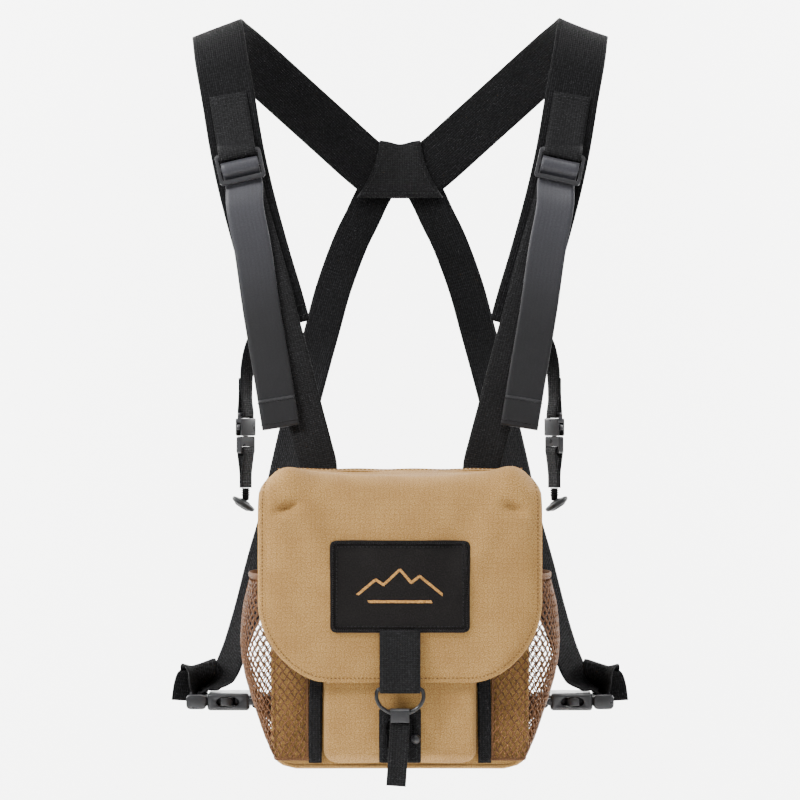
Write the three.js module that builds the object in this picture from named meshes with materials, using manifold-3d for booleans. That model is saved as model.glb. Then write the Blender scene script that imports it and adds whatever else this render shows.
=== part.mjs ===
// Binocular harness pack: a padded chest case with a drop-front flap, carried on a crossed shoulder
// harness. Millimetres, +X to the right, +Y towards the wearer's back, +Z up. The origin is the middle
// of the line over the two shoulders, where the harness rests.
import * as THREE from "three";
import { mergeVertices } from "three/addons/utils/BufferGeometryUtils.js";
import Module from "manifold-3d";

const wasm = await Module();
wasm.setup();

// ---------------------------------------------------------------- driving dimensions
const gap = 0.3; // between pieces that touch

// Case
const caseWidth = 164;
const caseDepth = 80;
const caseHeight = 187;
const caseTopZ = -304;
const caseBackY = -85;
const panelThickness = 5;
const gussetWall = 4;
const caseCornerRadius = 15;
const frontPanelDrop = 8; // the front panel stops this far below the back panel
const baseBoardThickness = 2;

// Front pocket and its edge tapes
const pocketWidth = 98;
const pocketHeight = 88;
const pocketDepth = 11;
const pocketWall = 1.6;
const tapeWidth = 8.5;
const tapeThickness = 2.6;
const tapeHeight = 108;

// Side net pockets
const netWall = 1.6;
const netHeight = 114;
const netBulge = 21; // how far the net stands off the side of the case
const netBindingHeight = 6;
const netBindingWall = 2.6;

// Flap
const flapWidth = 182;
const flapThickness = 5;
const flapDrop = 134.6;
const flapBendRadius = 14;
const flapCornerRise = 52;
const flapCornerRun = 46;
const flapClearance = 0.6;
const patchWidth = 88;
const patchHeight = 58;
const patchThickness = 1.8;
const patchTopDrop = 44;

// Ring, latch and pull tab
const flapStrapWidth = 26;
const flapStrapThickness = 1.2;
const ringRod = 2.6;
const ringHeight = 19;
const ringSideClearance = 0.7;
const latchWidth = 12;
const latchWall = 1.6;
const latchBelowRing = 5.2;
const pullTabWidth = 13;
const pullTabThickness = 3;
const pullTabLength = 40.5;
const latchBaseWidth = 26;
const latchBaseHeight = 33;
const latchBaseThickness = 1.5;
const latchCordDiameter = 2.4;
const latchCordSpread = 17;

// Straps
const bandWidth = 36;
const bandThickness = 2.5;
const webbingWidth = 25;
const webbingThickness = 1.4;
const tetherWebWidth = 10;
const tetherWebThickness = 1.2;
const layerGap = 0.6; // between straps that lie on each other

// Strap adjuster
const sliderBar = 3;
const sliderSlot = 6;
const sliderThickness = 2.5;

// Yoke between the shoulder blades
const yokeTopWidth = 28;
const yokeBottomWidth = 60;
const yokeHeight = 40;
const yokeTopZ = -72;
const yokeY = 75.4;
const yokeThickness = 1.5;
const yokeStackHalf = 2.4; // half the thickness of the straps between the two yoke leaves

// Waist and tether buckles
const waistBuckle = {
  web: webbingWidth,
  webThickness: webbingThickness,
  width: webbingWidth + 8,
  thickness: 11.5,
  femaleLength: 34,
  cavityHeight: 6,
  barLength: 2.6,
  slotLength: 3.2,
  barHalfThickness: 2.2,
  cavityDepth: 25,
  maleLength: 14,
  maleThickness: 6,
  armLength: 23,
  armWidth: 3.4,
  armInset: 6.4,
  barbStart: 9,
  barbEnd: 18,
  barbProud: 0.6,
  guideWidth: 5,
  guideLength: 19,
};
const tetherBuckle = {
  web: tetherWebWidth,
  webThickness: tetherWebThickness,
  width: tetherWebWidth + 4,
  thickness: 6,
  femaleLength: 15.5,
  cavityHeight: 3.4,
  barLength: 1.6,
  slotLength: 2.2,
  barHalfThickness: 1.3,
  cavityDepth: 11,
  maleLength: 11.5,
  maleThickness: 4,
  armLength: 10,
  armWidth: 1.7,
  armInset: 2.6,
  barbStart: 4,
  barbEnd: 8,
  barbProud: 0.5,
  guideWidth: 2,
  guideLength: 8,
};
const waistStandOff = 46; // from the side of the case to the socket's mouth
const waistY = -70;
const waistAboveBase = 35.5;
const tetherX = 103;
const tetherY = -72;
const tetherMouthZ = -279;
const tetherTurn = THREE.MathUtils.degToRad(50);

// Toggle on the tether
const tetherWebLength = 23;
const neckRadius = 2.6;
const neckLength = 5;
const cordRadius = 1;
const cordLength = 1.6;
const toggleRadius = 8.5;
const toggleThickness = 6;
const toggleTilt = THREE.MathUtils.degToRad(32);
const toggleGap = 1.5;

// ---------------------------------------------------------------- places worked out from them
const halfCase = caseWidth / 2;
const waistMouthX = halfCase + waistStandOff;
const caseFrontY = caseBackY - caseDepth;
const caseBottomZ = caseTopZ - caseHeight;
const hingeY = caseBackY - panelThickness - 1;
const hingeZ = caseTopZ + 3;
const pocketFrontY = caseFrontY - pocketDepth;
const flapInnerY = pocketFrontY - flapClearance;
const flapOuterY = flapInnerY - flapThickness;
const flapBottomZ = hingeZ - flapDrop;
const patchBottomZ = hingeZ - patchTopDrop - patchHeight;
const ringWrapRadius = Math.hypot(ringRod, ringRod) / 2 + 0.5 + flapStrapThickness / 2;
const ringBarY = flapOuterY - gap - flapStrapThickness / 2 - ringWrapRadius;
const ringBarZ = flapBottomZ - ringWrapRadius - 0.4;
const ringFootZ = ringBarZ - ringHeight + ringRod;
const latchChannel = Math.hypot(ringRod, ringRod) + 2 * gap;
const waistZ = caseBottomZ + waistAboveBase;

// ---------------------------------------------------------------- finishes
const cloth = { color: 0xb59a6d, roughness: 0.9, metalness: 0 };
const net = { color: 0x9a7446, roughness: 0.85, metalness: 0 };
const tape = { color: 0x17171a, roughness: 0.8, metalness: 0 };
const elastic = { color: 0x111113, roughness: 0.85, metalness: 0 };
const acetal = { color: 0x1e1f22, roughness: 0.42, metalness: 0 };
const board = { color: 0x2a2a2a, roughness: 0.7, metalness: 0 };
const steel = { color: 0x2c2d30, roughness: 0.35, metalness: 0.9 };

const pack = new THREE.Group();

function piece(name, geometry, finish, parent = pack) {
  const mesh = new THREE.Mesh(geometry, new THREE.MeshStandardMaterial(finish));
  mesh.name = name;
  parent.add(mesh);
  return mesh;
}

// ---------------------------------------------------------------- shape tools
function toSolid(geometry) {
  const bare = geometry.clone();
  bare.deleteAttribute("normal");
  bare.deleteAttribute("uv");
  const merged = mergeVertices(bare, 1e-4);
  const vertProperties = new Float32Array(merged.attributes.position.array);
  const triVerts = new Uint32Array(merged.index.array);
  return new wasm.Manifold(new wasm.Mesh({ numProp: 3, vertProperties, triVerts }));
}

function toGeometry(solid) {
  const result = solid.getMesh();
  const geometry = new THREE.BufferGeometry();
  geometry.setAttribute("position", new THREE.BufferAttribute(result.vertProperties, 3));
  geometry.setIndex(new THREE.BufferAttribute(result.triVerts, 1));
  return geometry;
}

function cut(geometry, ...tools) {
  let solid = toSolid(geometry);
  for (const tool of tools) {
    solid = solid.subtract(toSolid(tool));
  }
  return toGeometry(solid);
}

function join(...geometries) {
  let solid = toSolid(geometries[0]);
  for (const other of geometries.slice(1)) {
    solid = solid.add(toSolid(other));
  }
  return toGeometry(solid);
}

function common(first, second) {
  return toGeometry(toSolid(first).intersect(toSolid(second)));
}

function block([x0, x1], [y0, y1], [z0, z1]) {
  const geometry = new THREE.BoxGeometry(x1 - x0, y1 - y0, z1 - z0);
  return geometry.translate((x0 + x1) / 2, (y0 + y1) / 2, (z0 + z1) / 2);
}

function extrude(shape, depth, curveSegments = 4) {
  return new THREE.ExtrudeGeometry(shape, { depth, bevelEnabled: false, curveSegments });
}

// A shape drawn in X and Z, made solid from y0 to y1.
function uprightPlate(shape, [y0, y1], curveSegments) {
  return extrude(shape, y1 - y0, curveSegments).rotateX(Math.PI / 2).translate(0, y1, 0);
}

// A shape drawn in Y and Z, made solid from x0 to x1.
function sidePrism(shape, [x0, x1], curveSegments) {
  const turn = new THREE.Matrix4().makeBasis(
    new THREE.Vector3(0, 1, 0),
    new THREE.Vector3(0, 0, 1),
    new THREE.Vector3(1, 0, 0),
  );
  return extrude(shape, x1 - x0, curveSegments).applyMatrix4(turn).translate(x0, 0, 0);
}

// A shape drawn in X and Y, made solid from z0 to z1.
function flatPlate(shape, [z0, z1], curveSegments) {
  return extrude(shape, z1 - z0, curveSegments).translate(0, 0, z0);
}

// A rectangle with its own radius at the lower and upper corners.
function roundedBox([x0, x1], [z0, z1], lowRadius, highRadius) {
  const shape = new THREE.Shape();
  const quarter = Math.PI / 2;
  shape.moveTo(x0 + lowRadius, z0);
  shape.lineTo(x1 - lowRadius, z0);
  shape.absarc(x1 - lowRadius, z0 + lowRadius, lowRadius, -quarter, 0, false);
  shape.lineTo(x1, z1 - highRadius);
  shape.absarc(x1 - highRadius, z1 - highRadius, highRadius, 0, quarter, false);
  shape.lineTo(x0 + highRadius, z1);
  shape.absarc(x0 + highRadius, z1 - highRadius, highRadius, quarter, 2 * quarter, false);
  shape.lineTo(x0, z0 + lowRadius);
  shape.absarc(x0 + lowRadius, z0 + lowRadius, lowRadius, 2 * quarter, 3 * quarter, false);
  shape.closePath();
  return shape;
}

// A flat strap: a box bent along a smooth path. Each station is [place, direction across the strap].
function strap(stations, width, thickness, side, stepsEach = 4, stepsWide = 1) {
  const mirror = ([x, y, z]) => new THREE.Vector3(side * x, y, z);
  const places = stations.map(([place]) => mirror(place));
  const across = stations.map(([, direction]) => mirror(direction).normalize());
  const path = new THREE.CatmullRomCurve3(places, false, "centripetal");
  const spans = stations.length - 1;
  const geometry = new THREE.BoxGeometry(width, thickness, 1, stepsWide, 1, spans * stepsEach);
  const position = geometry.attributes.position;
  for (let i = 0; i < position.count; i += 1) {
    const t = THREE.MathUtils.clamp(position.getZ(i) + 0.5, 0, 1);
    const index = Math.min(Math.floor(t * spans), spans - 1);
    const along = path.getTangent(t);
    const wide = across[index].clone().lerp(across[index + 1], t * spans - index);
    wide.addScaledVector(along, -wide.dot(along)).normalize();
    const normal = along.clone().cross(wide);
    const point = path.getPoint(t);
    point.addScaledVector(wide, position.getX(i)).addScaledVector(normal, position.getY(i));
    position.setXYZ(i, point.x, point.y, point.z);
  }
  return geometry;
}

// Bends a thin block, whose X runs 0..1 along a wall and Z runs 0..1 up it, onto a curved wall.
function curvedWall(wallPoint, wall, stepsAlong, stepsUp) {
  const geometry = new THREE.BoxGeometry(1, wall, 1, stepsAlong, 1, stepsUp);
  geometry.translate(0.5, 0, 0.5);
  const position = geometry.attributes.position;
  for (let i = 0; i < position.count; i += 1) {
    const point = wallPoint(position.getX(i), position.getZ(i), position.getY(i));
    position.setXYZ(i, point.x, point.y, point.z);
  }
  return geometry;
}

function sides(build) {
  build(-1, "left");
  build(1, "right");
}

// ---------------------------------------------------------------- case
function buildCase() {
  const outline = roundedBox([-halfCase, halfCase], [caseBottomZ, caseTopZ], caseCornerRadius, 10);
  const back = uprightPlate(outline, [caseBackY - panelThickness, caseBackY]);
  piece("back_panel", back, cloth);

  const frontTopZ = caseTopZ - frontPanelDrop;
  const frontOutline = roundedBox([-halfCase, halfCase], [caseBottomZ, frontTopZ], caseCornerRadius, 4);
  const front = uprightPlate(frontOutline, [caseFrontY, caseFrontY + panelThickness]);
  piece("front_panel", front, cloth);

  const gussetY = [caseFrontY + panelThickness + gap, caseBackY - panelThickness - gap];
  const gussetTopZ = hingeZ - flapThickness - 1;
  const gussetOutline = roundedBox([-halfCase, halfCase], [caseBottomZ, gussetTopZ], caseCornerRadius, 1);
  const inner = halfCase - gussetWall;
  const innerRadius = caseCornerRadius - gussetWall;
  const hollow = roundedBox([-inner, inner], [caseBottomZ + gussetWall, caseTopZ + 20], innerRadius, 1);
  const gusset = cut(
    uprightPlate(gussetOutline, gussetY),
    uprightPlate(hollow, [gussetY[0] - 1, gussetY[1] + 1]),
  );
  piece("side_and_base_gusset", gusset, cloth);

  const boardHalf = inner - innerRadius;
  const boardLowZ = caseBottomZ + gussetWall + gap;
  const boardX = [-boardHalf, boardHalf];
  const boardY = [gussetY[0] + 1, gussetY[1] - 1];
  piece("base_board", block(boardX, boardY, [boardLowZ, boardLowZ + baseBoardThickness]), board);
}

// ---------------------------------------------------------------- front pocket
function buildFrontPocket() {
  const half = pocketWidth / 2;
  const lowZ = caseBottomZ + 3;
  const highZ = lowZ + pocketHeight;
  const behindY = caseFrontY - gap;
  const body = uprightPlate(roundedBox([-half, half], [lowZ, highZ], 8, 0.5), [pocketFrontY, behindY]);
  const inner = half - pocketWall;
  const hollow = uprightPlate(
    roundedBox([-inner, inner], [lowZ + pocketWall, highZ + 20], 8 - pocketWall, 1),
    [pocketFrontY + pocketWall, behindY + 1],
  );
  piece("front_pocket", cut(body, hollow), cloth);

  sides((side, name) => {
    const nearX = half + gap;
    const xs = [side * nearX, side * (nearX + tapeWidth)].sort((a, b) => a - b);
    const tapeY = [behindY - tapeThickness, behindY];
    piece(`pocket_tape_${name}`, block(xs, tapeY, [lowZ, lowZ + tapeHeight]), tape);
  });

  const baseHalf = latchBaseWidth / 2;
  const baseTopZ = ringFootZ + 2;
  const baseZ = [baseTopZ - latchBaseHeight, baseTopZ];
  const baseY = [pocketFrontY - gap - latchBaseThickness, pocketFrontY - gap];
  piece("latch_base", block([-baseHalf, baseHalf], baseY, baseZ), tape);

  const cordY = baseY[0] - gap - latchCordDiameter / 2;
  const reach = latchCordSpread / 2;
  const crownZ = ringFootZ - 1.5;
  const footZ = crownZ - 20;
  const route = [
    [-reach, footZ],
    [-reach, footZ + 8],
    [-reach, crownZ - 5],
    [-reach + 3, crownZ - 0.8],
    [0, crownZ],
    [reach - 3, crownZ - 0.8],
    [reach, crownZ - 5],
    [reach, footZ + 8],
    [reach, footZ],
  ].map(([x, z]) => new THREE.Vector3(x, cordY, z));
  const round = new THREE.Shape().absarc(0, 0, latchCordDiameter / 2, 0, 2 * Math.PI, false);
  const cord = new THREE.ExtrudeGeometry(round, {
    steps: 24,
    curveSegments: 4,
    extrudePath: new THREE.CatmullRomCurve3(route, false, "centripetal"),
  });
  piece("latch_cord", cord, elastic);
}

// ---------------------------------------------------------------- side net pockets
function buildNetPockets() {
  const lowZ = caseBottomZ + 5;
  const nearX = pocketWidth / 2 + gap + tapeWidth + gap;
  const skin = Math.max(netWall, netBindingWall) / 2 + gap;
  const swell = (up) => 0.12 + 0.88 * Math.sin(Math.PI * (0.1 + 0.64 * up)) ** 0.8;

  // Middle line of the net, seen from above: along the case front, round the corner, back along its side.
  const plan = (up) => {
    const out = netBulge * swell(up);
    const frontY = caseFrontY - skin;
    const sideX = halfCase + skin;
    return new THREE.CatmullRomCurve3([
      new THREE.Vector3(nearX, frontY, 0),
      new THREE.Vector3(nearX + 12, frontY - 0.16 * out, 0),
      new THREE.Vector3(halfCase, frontY - 0.14 * out, 0),
      new THREE.Vector3(sideX + 0.62 * out, frontY + 8, 0),
      new THREE.Vector3(sideX + 0.95 * out, caseFrontY + 0.36 * caseDepth, 0),
      new THREE.Vector3(sideX + 0.92 * out, caseFrontY + 0.66 * caseDepth, 0),
      new THREE.Vector3(sideX + 0.6 * out, caseBackY - 11, 0),
      new THREE.Vector3(sideX, caseBackY - 3.5, 0),
    ], false, "centripetal");
  };

  sides((side, name) => {
    const onWall = (height, baseZ, upFrom, upTo) => (along, up, off) => {
      const curve = plan(upFrom + (upTo - upFrom) * up);
      const ahead = side < 0 ? 1 - along : along;
      const point = curve.getPointAt(ahead);
      const tangent = curve.getTangentAt(ahead);
      const outward = new THREE.Vector3(tangent.y, -tangent.x, 0);
      point.addScaledVector(outward, -off);
      return new THREE.Vector3(side * point.x, point.y, baseZ + height * up);
    };
    const wall = curvedWall(onWall(netHeight, lowZ, 0, 1), netWall, 14, 6);
    piece(`net_pocket_${name}`, wall, net);
    const rim = curvedWall(
      onWall(netBindingHeight, lowZ + netHeight + gap, 1, 1),
      netBindingWall,
      14,
      1,
    );
    piece(`net_binding_${name}`, rim, tape);
  });
}

// ---------------------------------------------------------------- flap
function buildFlap() {
  const half = flapWidth / 2;
  const inset = flapBendRadius;
  const profile = new THREE.Shape();
  profile.moveTo(hingeY, hingeZ);
  profile.lineTo(hingeY, hingeZ - flapThickness);
  profile.lineTo(flapOuterY + inset, hingeZ - flapThickness);
  profile.absarc(flapOuterY + inset, hingeZ - inset, inset - flapThickness, Math.PI / 2, Math.PI, false);
  profile.lineTo(flapInnerY, flapBottomZ - 1);
  profile.lineTo(flapOuterY, flapBottomZ - 1);
  profile.lineTo(flapOuterY, hingeZ - inset);
  profile.absarc(flapOuterY + inset, hingeZ - inset, inset, Math.PI, Math.PI / 2, true);
  profile.closePath();
  const bent = sidePrism(profile, [-half - 1, half + 1], 5);

  const cornerZ = flapBottomZ + flapCornerRise;
  const cornerX = half - flapCornerRun;
  const face = new THREE.Shape();
  face.moveTo(-half, hingeZ + 5);
  face.lineTo(-half, cornerZ);
  face.bezierCurveTo(-half, cornerZ - 28, -cornerX - 22, flapBottomZ, -cornerX, flapBottomZ);
  face.lineTo(cornerX, flapBottomZ);
  face.bezierCurveTo(cornerX + 22, flapBottomZ, half, cornerZ - 28, half, cornerZ);
  face.lineTo(half, hingeZ + 5);
  face.closePath();
  const flap = common(bent, uprightPlate(face, [flapOuterY - 5, hingeY + 5], 6));
  piece("flap", flap, cloth);

  const patchY = [flapOuterY - gap - patchThickness, flapOuterY - gap];
  const patchX = [-patchWidth / 2, patchWidth / 2];
  const patchZ = [patchBottomZ, patchBottomZ + patchHeight];
  piece("front_patch", uprightPlate(roundedBox(patchX, patchZ, 2, 2), patchY, 2), tape);

  // The strap is folded round the ring's straight bar, and its two leaves meet on the flap.
  const flatY = flapOuterY - gap - flapStrapThickness / 2;
  const leafY = flatY - flapStrapThickness - gap;
  const topZ = patchBottomZ - gap;
  const wrap = ringWrapRadius;
  const across = [1, 0, 0];
  const turnPoints = [0, 45, 90, 135, 180].map((degrees) => {
    const angle = THREE.MathUtils.degToRad(degrees);
    return [[0, ringBarY + wrap * Math.cos(angle), ringBarZ - wrap * Math.sin(angle)], across];
  });
  const stations = [
    [[0, flatY, topZ], across],
    [[0, flatY, (topZ + ringBarZ) / 2], across],
    ...turnPoints,
    [[0, leafY - 0.6 * wrap, ringBarZ + 9], across],
    [[0, leafY, ringBarZ + 19], across],
    [[0, leafY, topZ], across],
  ];
  piece("flap_strap", strap(stations, flapStrapWidth, flapStrapThickness, 1, 3), tape);
}

// ---------------------------------------------------------------- ring and latch
function buildLatch() {
  const half = flapStrapWidth / 2 + ringSideClearance + ringRod;
  const topZ = ringBarZ + ringRod / 2;
  const footZ = ringFootZ - ringRod / 2;
  const ringY = [ringBarY - ringRod / 2, ringBarY + ringRod / 2];
  const bend = (topZ - footZ) / 2;
  const outer = uprightPlate(roundedBox([-half, half], [footZ, topZ], bend, 2), ringY, 6);
  const innerX = [-half + ringRod, half - ringRod];
  const innerZ = [footZ + ringRod, topZ - ringRod];
  const eye = uprightPlate(
    roundedBox(innerX, innerZ, bend - ringRod, 0.5),
    [ringY[0] - 1, ringY[1] + 1],
    6,
  );
  piece("d_ring", cut(outer, eye), steel);

  const reach = latchChannel / 2 + latchWall;
  const lowZ = ringFootZ - latchBelowRing;
  const hook = sidePrism(
    roundedBox([ringBarY - reach, ringBarY + reach], [lowZ, ringFootZ + reach], 1.2, 1.8),
    [-latchWidth / 2, latchWidth / 2],
    3,
  );
  const channelHalf = latchChannel / 2;
  const channel = block(
    [-latchWidth, latchWidth],
    [ringBarY - channelHalf, ringBarY + channelHalf],
    [ringFootZ - channelHalf, ringFootZ + channelHalf],
  );
  piece("latch_hook", cut(hook, channel), acetal);

  const tabTopZ = lowZ - gap;
  const tabHalf = pullTabWidth / 2;
  const tabY = [ringBarY - pullTabThickness / 2 - 0.5, ringBarY + pullTabThickness / 2 - 0.5];
  const tab = roundedBox([-tabHalf, tabHalf], [tabTopZ - pullTabLength, tabTopZ], 2, 0.5);
  piece("pull_tab", uprightPlate(tab, tabY, 2), tape);
}

// ---------------------------------------------------------------- buckles
// Each is drawn with its mouth at the origin: the socket half lies towards -X, the plug half towards +X,
// its width along Y and its thickness along Z.
function socketHalf(size) {
  const halfWidth = size.width / 2;
  const halfThickness = size.thickness / 2;
  const halfCavity = size.cavityHeight / 2;
  const rear = -size.femaleLength;
  const slotStart = rear + size.barLength;
  const slotEnd = slotStart + size.slotLength;
  const corner = 0.09 * size.width;
  const body = flatPlate(
    roundedBox([rear, 0], [-halfWidth, halfWidth], corner, corner),
    [-halfThickness, halfThickness],
    3,
  );
  const tall = [-halfThickness - 1, halfThickness + 1];
  const wide = [-halfWidth - 1, halfWidth + 1];
  const cavityY = [-halfWidth + 0.09 * size.width, halfWidth - 0.09 * size.width];
  const slotY = [-size.web / 2 - 0.8, size.web / 2 + 0.8];
  return cut(
    body,
    block([-size.cavityDepth, 1], cavityY, [-halfCavity, halfCavity]),
    block([-size.barbEnd - 1, 1], wide, [-halfCavity, halfCavity]),
    block([slotStart, slotEnd], slotY, tall),
    block([rear - 1, slotEnd], wide, [size.barHalfThickness, halfThickness + 1]),
    block([rear - 1, slotEnd], wide, [-halfThickness - 1, -size.barHalfThickness]),
  );
}

function plugSlots(size) {
  const first = gap + 0.2 * size.maleLength;
  const second = size.maleLength - 0.2 * size.maleLength - size.slotLength;
  return { first, second };
}

function plugHalf(size, slotCount) {
  const halfWidth = size.width / 2;
  const halfThickness = size.maleThickness / 2;
  const halfGuide = size.cavityHeight / 2 - 0.4;
  const corner = 0.09 * size.width;
  const base = flatPlate(
    roundedBox([gap, size.maleLength], [-halfWidth, halfWidth], corner, corner),
    [-halfThickness, halfThickness],
    3,
  );
  const guideY = [-size.guideWidth / 2, size.guideWidth / 2];
  const guide = block([-size.guideLength, gap + 1], guideY, [-halfGuide, halfGuide]);
  const { first, second } = plugSlots(size);
  const tall = [-halfThickness - 1, halfThickness + 1];
  const slotY = [-size.web / 2 - 0.8, size.web / 2 + 0.8];
  const slots = [block([second, second + size.slotLength], slotY, tall)];
  if (slotCount === 2) {
    slots.push(block([first, first + size.slotLength], slotY, tall));
  }
  return cut(join(base, guide), ...slots);
}

// One sprung arm with its barb, on the +Y side when hand is 1 and on the -Y side when it is -1.
function plugArm(size, hand) {
  const inner = size.armInset;
  const outer = size.armInset + size.armWidth;
  const barb = size.width / 2 + size.barbProud;
  const shape = new THREE.Shape();
  shape.moveTo(0, hand * inner);
  shape.lineTo(-size.armLength + 1.5, hand * (inner + 0.3));
  shape.lineTo(-size.armLength, hand * (inner + 1));
  shape.lineTo(-size.armLength, hand * outer);
  shape.lineTo(-size.barbEnd, hand * outer);
  shape.quadraticCurveTo(-size.barbEnd, hand * barb, -size.barbEnd + 0.3 * size.armLength - 1, hand * barb);
  shape.lineTo(-size.barbStart, hand * barb);
  shape.lineTo(-size.barbStart, hand * outer);
  shape.lineTo(0, hand * outer);
  shape.closePath();
  const half = size.cavityHeight / 2 - 0.4;
  return flatPlate(shape, [-half, half], 4);
}

function buildBuckle(size, place, outwards, across, names, slotCount) {
  const frame = new THREE.Matrix4().makeBasis(outwards, across, outwards.clone().cross(across));
  frame.setPosition(place);
  const holder = new THREE.Group();
  holder.applyMatrix4(frame);
  pack.add(holder);
  piece(names.socket, socketHalf(size), acetal, holder);
  piece(names.plug, plugHalf(size, slotCount), acetal, holder);
  piece(names.armA, plugArm(size, 1), acetal, holder);
  piece(names.armB, plugArm(size, -1), acetal, holder);
}

function buildWaistBuckles() {
  sides((side, name) => {
    const names = {
      socket: `waist_buckle_socket_${name}`,
      plug: `waist_buckle_plug_${name}`,
      armA: `waist_buckle_arm_a_${name}`,
      armB: `waist_buckle_arm_b_${name}`,
    };
    const place = new THREE.Vector3(side * waistMouthX, waistY, waistZ);
    const outwards = new THREE.Vector3(side, 0, 0);
    const across = new THREE.Vector3(0, side, 0);
    buildBuckle(waistBuckle, place, outwards, across, names, 2);

    // Loop of webbing from the seam at the back of the case to the socket's bar.
    const slotX = waistMouthX - waistBuckle.femaleLength + waistBuckle.barLength
      + waistBuckle.slotLength / 2;
    const barX = slotX - (waistBuckle.slotLength + waistBuckle.barLength) / 2;
    const over = waistBuckle.barHalfThickness + 0.8 + webbingThickness / 2;
    const seamX = halfCase + gap + 0.5;
    const seamY = caseBackY - panelThickness / 2;
    const upright = [0, 0, 1];
    const level = [0, 1, 0];
    const middleX = (seamX + barX) / 2;
    const stations = [
      [[seamX, seamY, waistZ], upright],
      [[seamX + 0.8, seamY + 6, waistZ], upright],
      [[seamX + 2.6, waistY - 4.5, waistZ], upright],
      [[middleX - 1.6, waistY - 0.8, waistZ + 1.4], [0, 0.7, 0.7]],
      [[barX - 4.8, waistY, waistZ + over - 0.9], level],
      [[barX - 2.6, waistY, waistZ + over], level],
      [[barX + 0.2, waistY, waistZ + over], level],
      [[barX + 1.6, waistY, waistZ + over - 0.1], level],
      [[slotX + 0.1, waistY, waistZ + 0.5 * over], level],
      [[slotX + 0.1, waistY, waistZ - 0.5 * over], level],
      [[barX + 1.4, waistY, waistZ - over], level],
      [[barX - 1.5, waistY, waistZ - over], level],
    ];
    piece(`anchor_tab_${name}`, strap(stations, webbingWidth, webbingThickness, side, 3, 4), tape);
  });
}

// ---------------------------------------------------------------- shoulder harness
// Middle line of the wide band, from its lower end on the chest, over the shoulder, to the yoke. X is
// measured outwards from the middle of the pack, and each direction runs across the band.
const bandLine = [
  [[77.3, -76, -206.4], [0.956, 0, -0.292]],
  [[82.7, -74, -187], [0.956, 0, -0.292]],
  [[90.8, -71, -160.2], [0.956, 0, -0.292]],
  [[102.4, -65, -117.8], [0.966, 0, -0.259]],
  [[109.3, -60, -87.3], [0.98, 0, -0.199]],
  [[115.8, -51, -50.4], [0.982, 0, -0.191]],
  [[120.9, -36, -24.8], [0.978, 0, -0.208]],
  [[124.3, -14, -5.7], [0.951, 0, -0.309]],
  [[125.6, 3, 0], [0.934, 0, -0.358]],
  [[120.5, 22, -4.3], [0.891, 0, -0.454]],
  [[108.2, 42, -14.2], [0.809, 0, -0.588]],
  [[91.2, 56, -28.7], [0.743, 0, -0.669]],
  [[70.4, 65.5, -47], [0.695, 0, -0.719]],
  [[49.4, 72, -65.6], [0.669, 0, -0.743]],
  [[28.3, yokeY - 0.4, -84.5], [0.669, 0, -0.743]],
  [[14.5, yokeY, -96], [0.669, 0, -0.743]],
];

const bandPath = new THREE.CatmullRomCurve3(
  bandLine.map(([place]) => new THREE.Vector3(...place)),
  false,
  "centripetal",
);

// The band's own directions at a place counted in stations from its lower end.
function bandFrame(station) {
  const t = station / (bandLine.length - 1);
  const index = Math.min(Math.floor(station), bandLine.length - 2);
  const down = bandPath.getTangent(t).negate();
  const across = new THREE.Vector3(...bandLine[index][1]);
  across.lerp(new THREE.Vector3(...bandLine[index + 1][1]), station - index);
  across.addScaledVector(down, -across.dot(down)).normalize();
  return { place: bandPath.getPoint(t), down, across, off: down.clone().cross(across) };
}

// A strap station lying on the band, its middle line raised off the band's.
function onBand(station, lift) {
  const { place, across, off } = bandFrame(station);
  return [place.addScaledVector(off, lift).toArray(), across.toArray()];
}

// The strap adjuster lies on the band below the shoulder.
const sliderStation = 3.58;
const { place: underSlider, down: downBand, across: acrossBand, off: offBand } = bandFrame(sliderStation);
const webOnBand = bandThickness / 2 + layerGap + webbingThickness / 2;
const webStack = webbingThickness + 0.35; // one strap and the space to the next
const sliderLift = webOnBand + 2 * webStack + 0.35 + sliderThickness / 2 - webbingThickness / 2 + 0.35;
const sliderCentre = underSlider.clone().addScaledVector(offBand, sliderLift);

// A place at the adjuster: down along the strap, out from the band, in the adjuster's own frame.
function atSlider(down, out) {
  const point = sliderCentre.clone().addScaledVector(downBand, down).addScaledVector(offBand, out);
  return [point.toArray(), acrossBand.toArray()];
}

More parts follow.
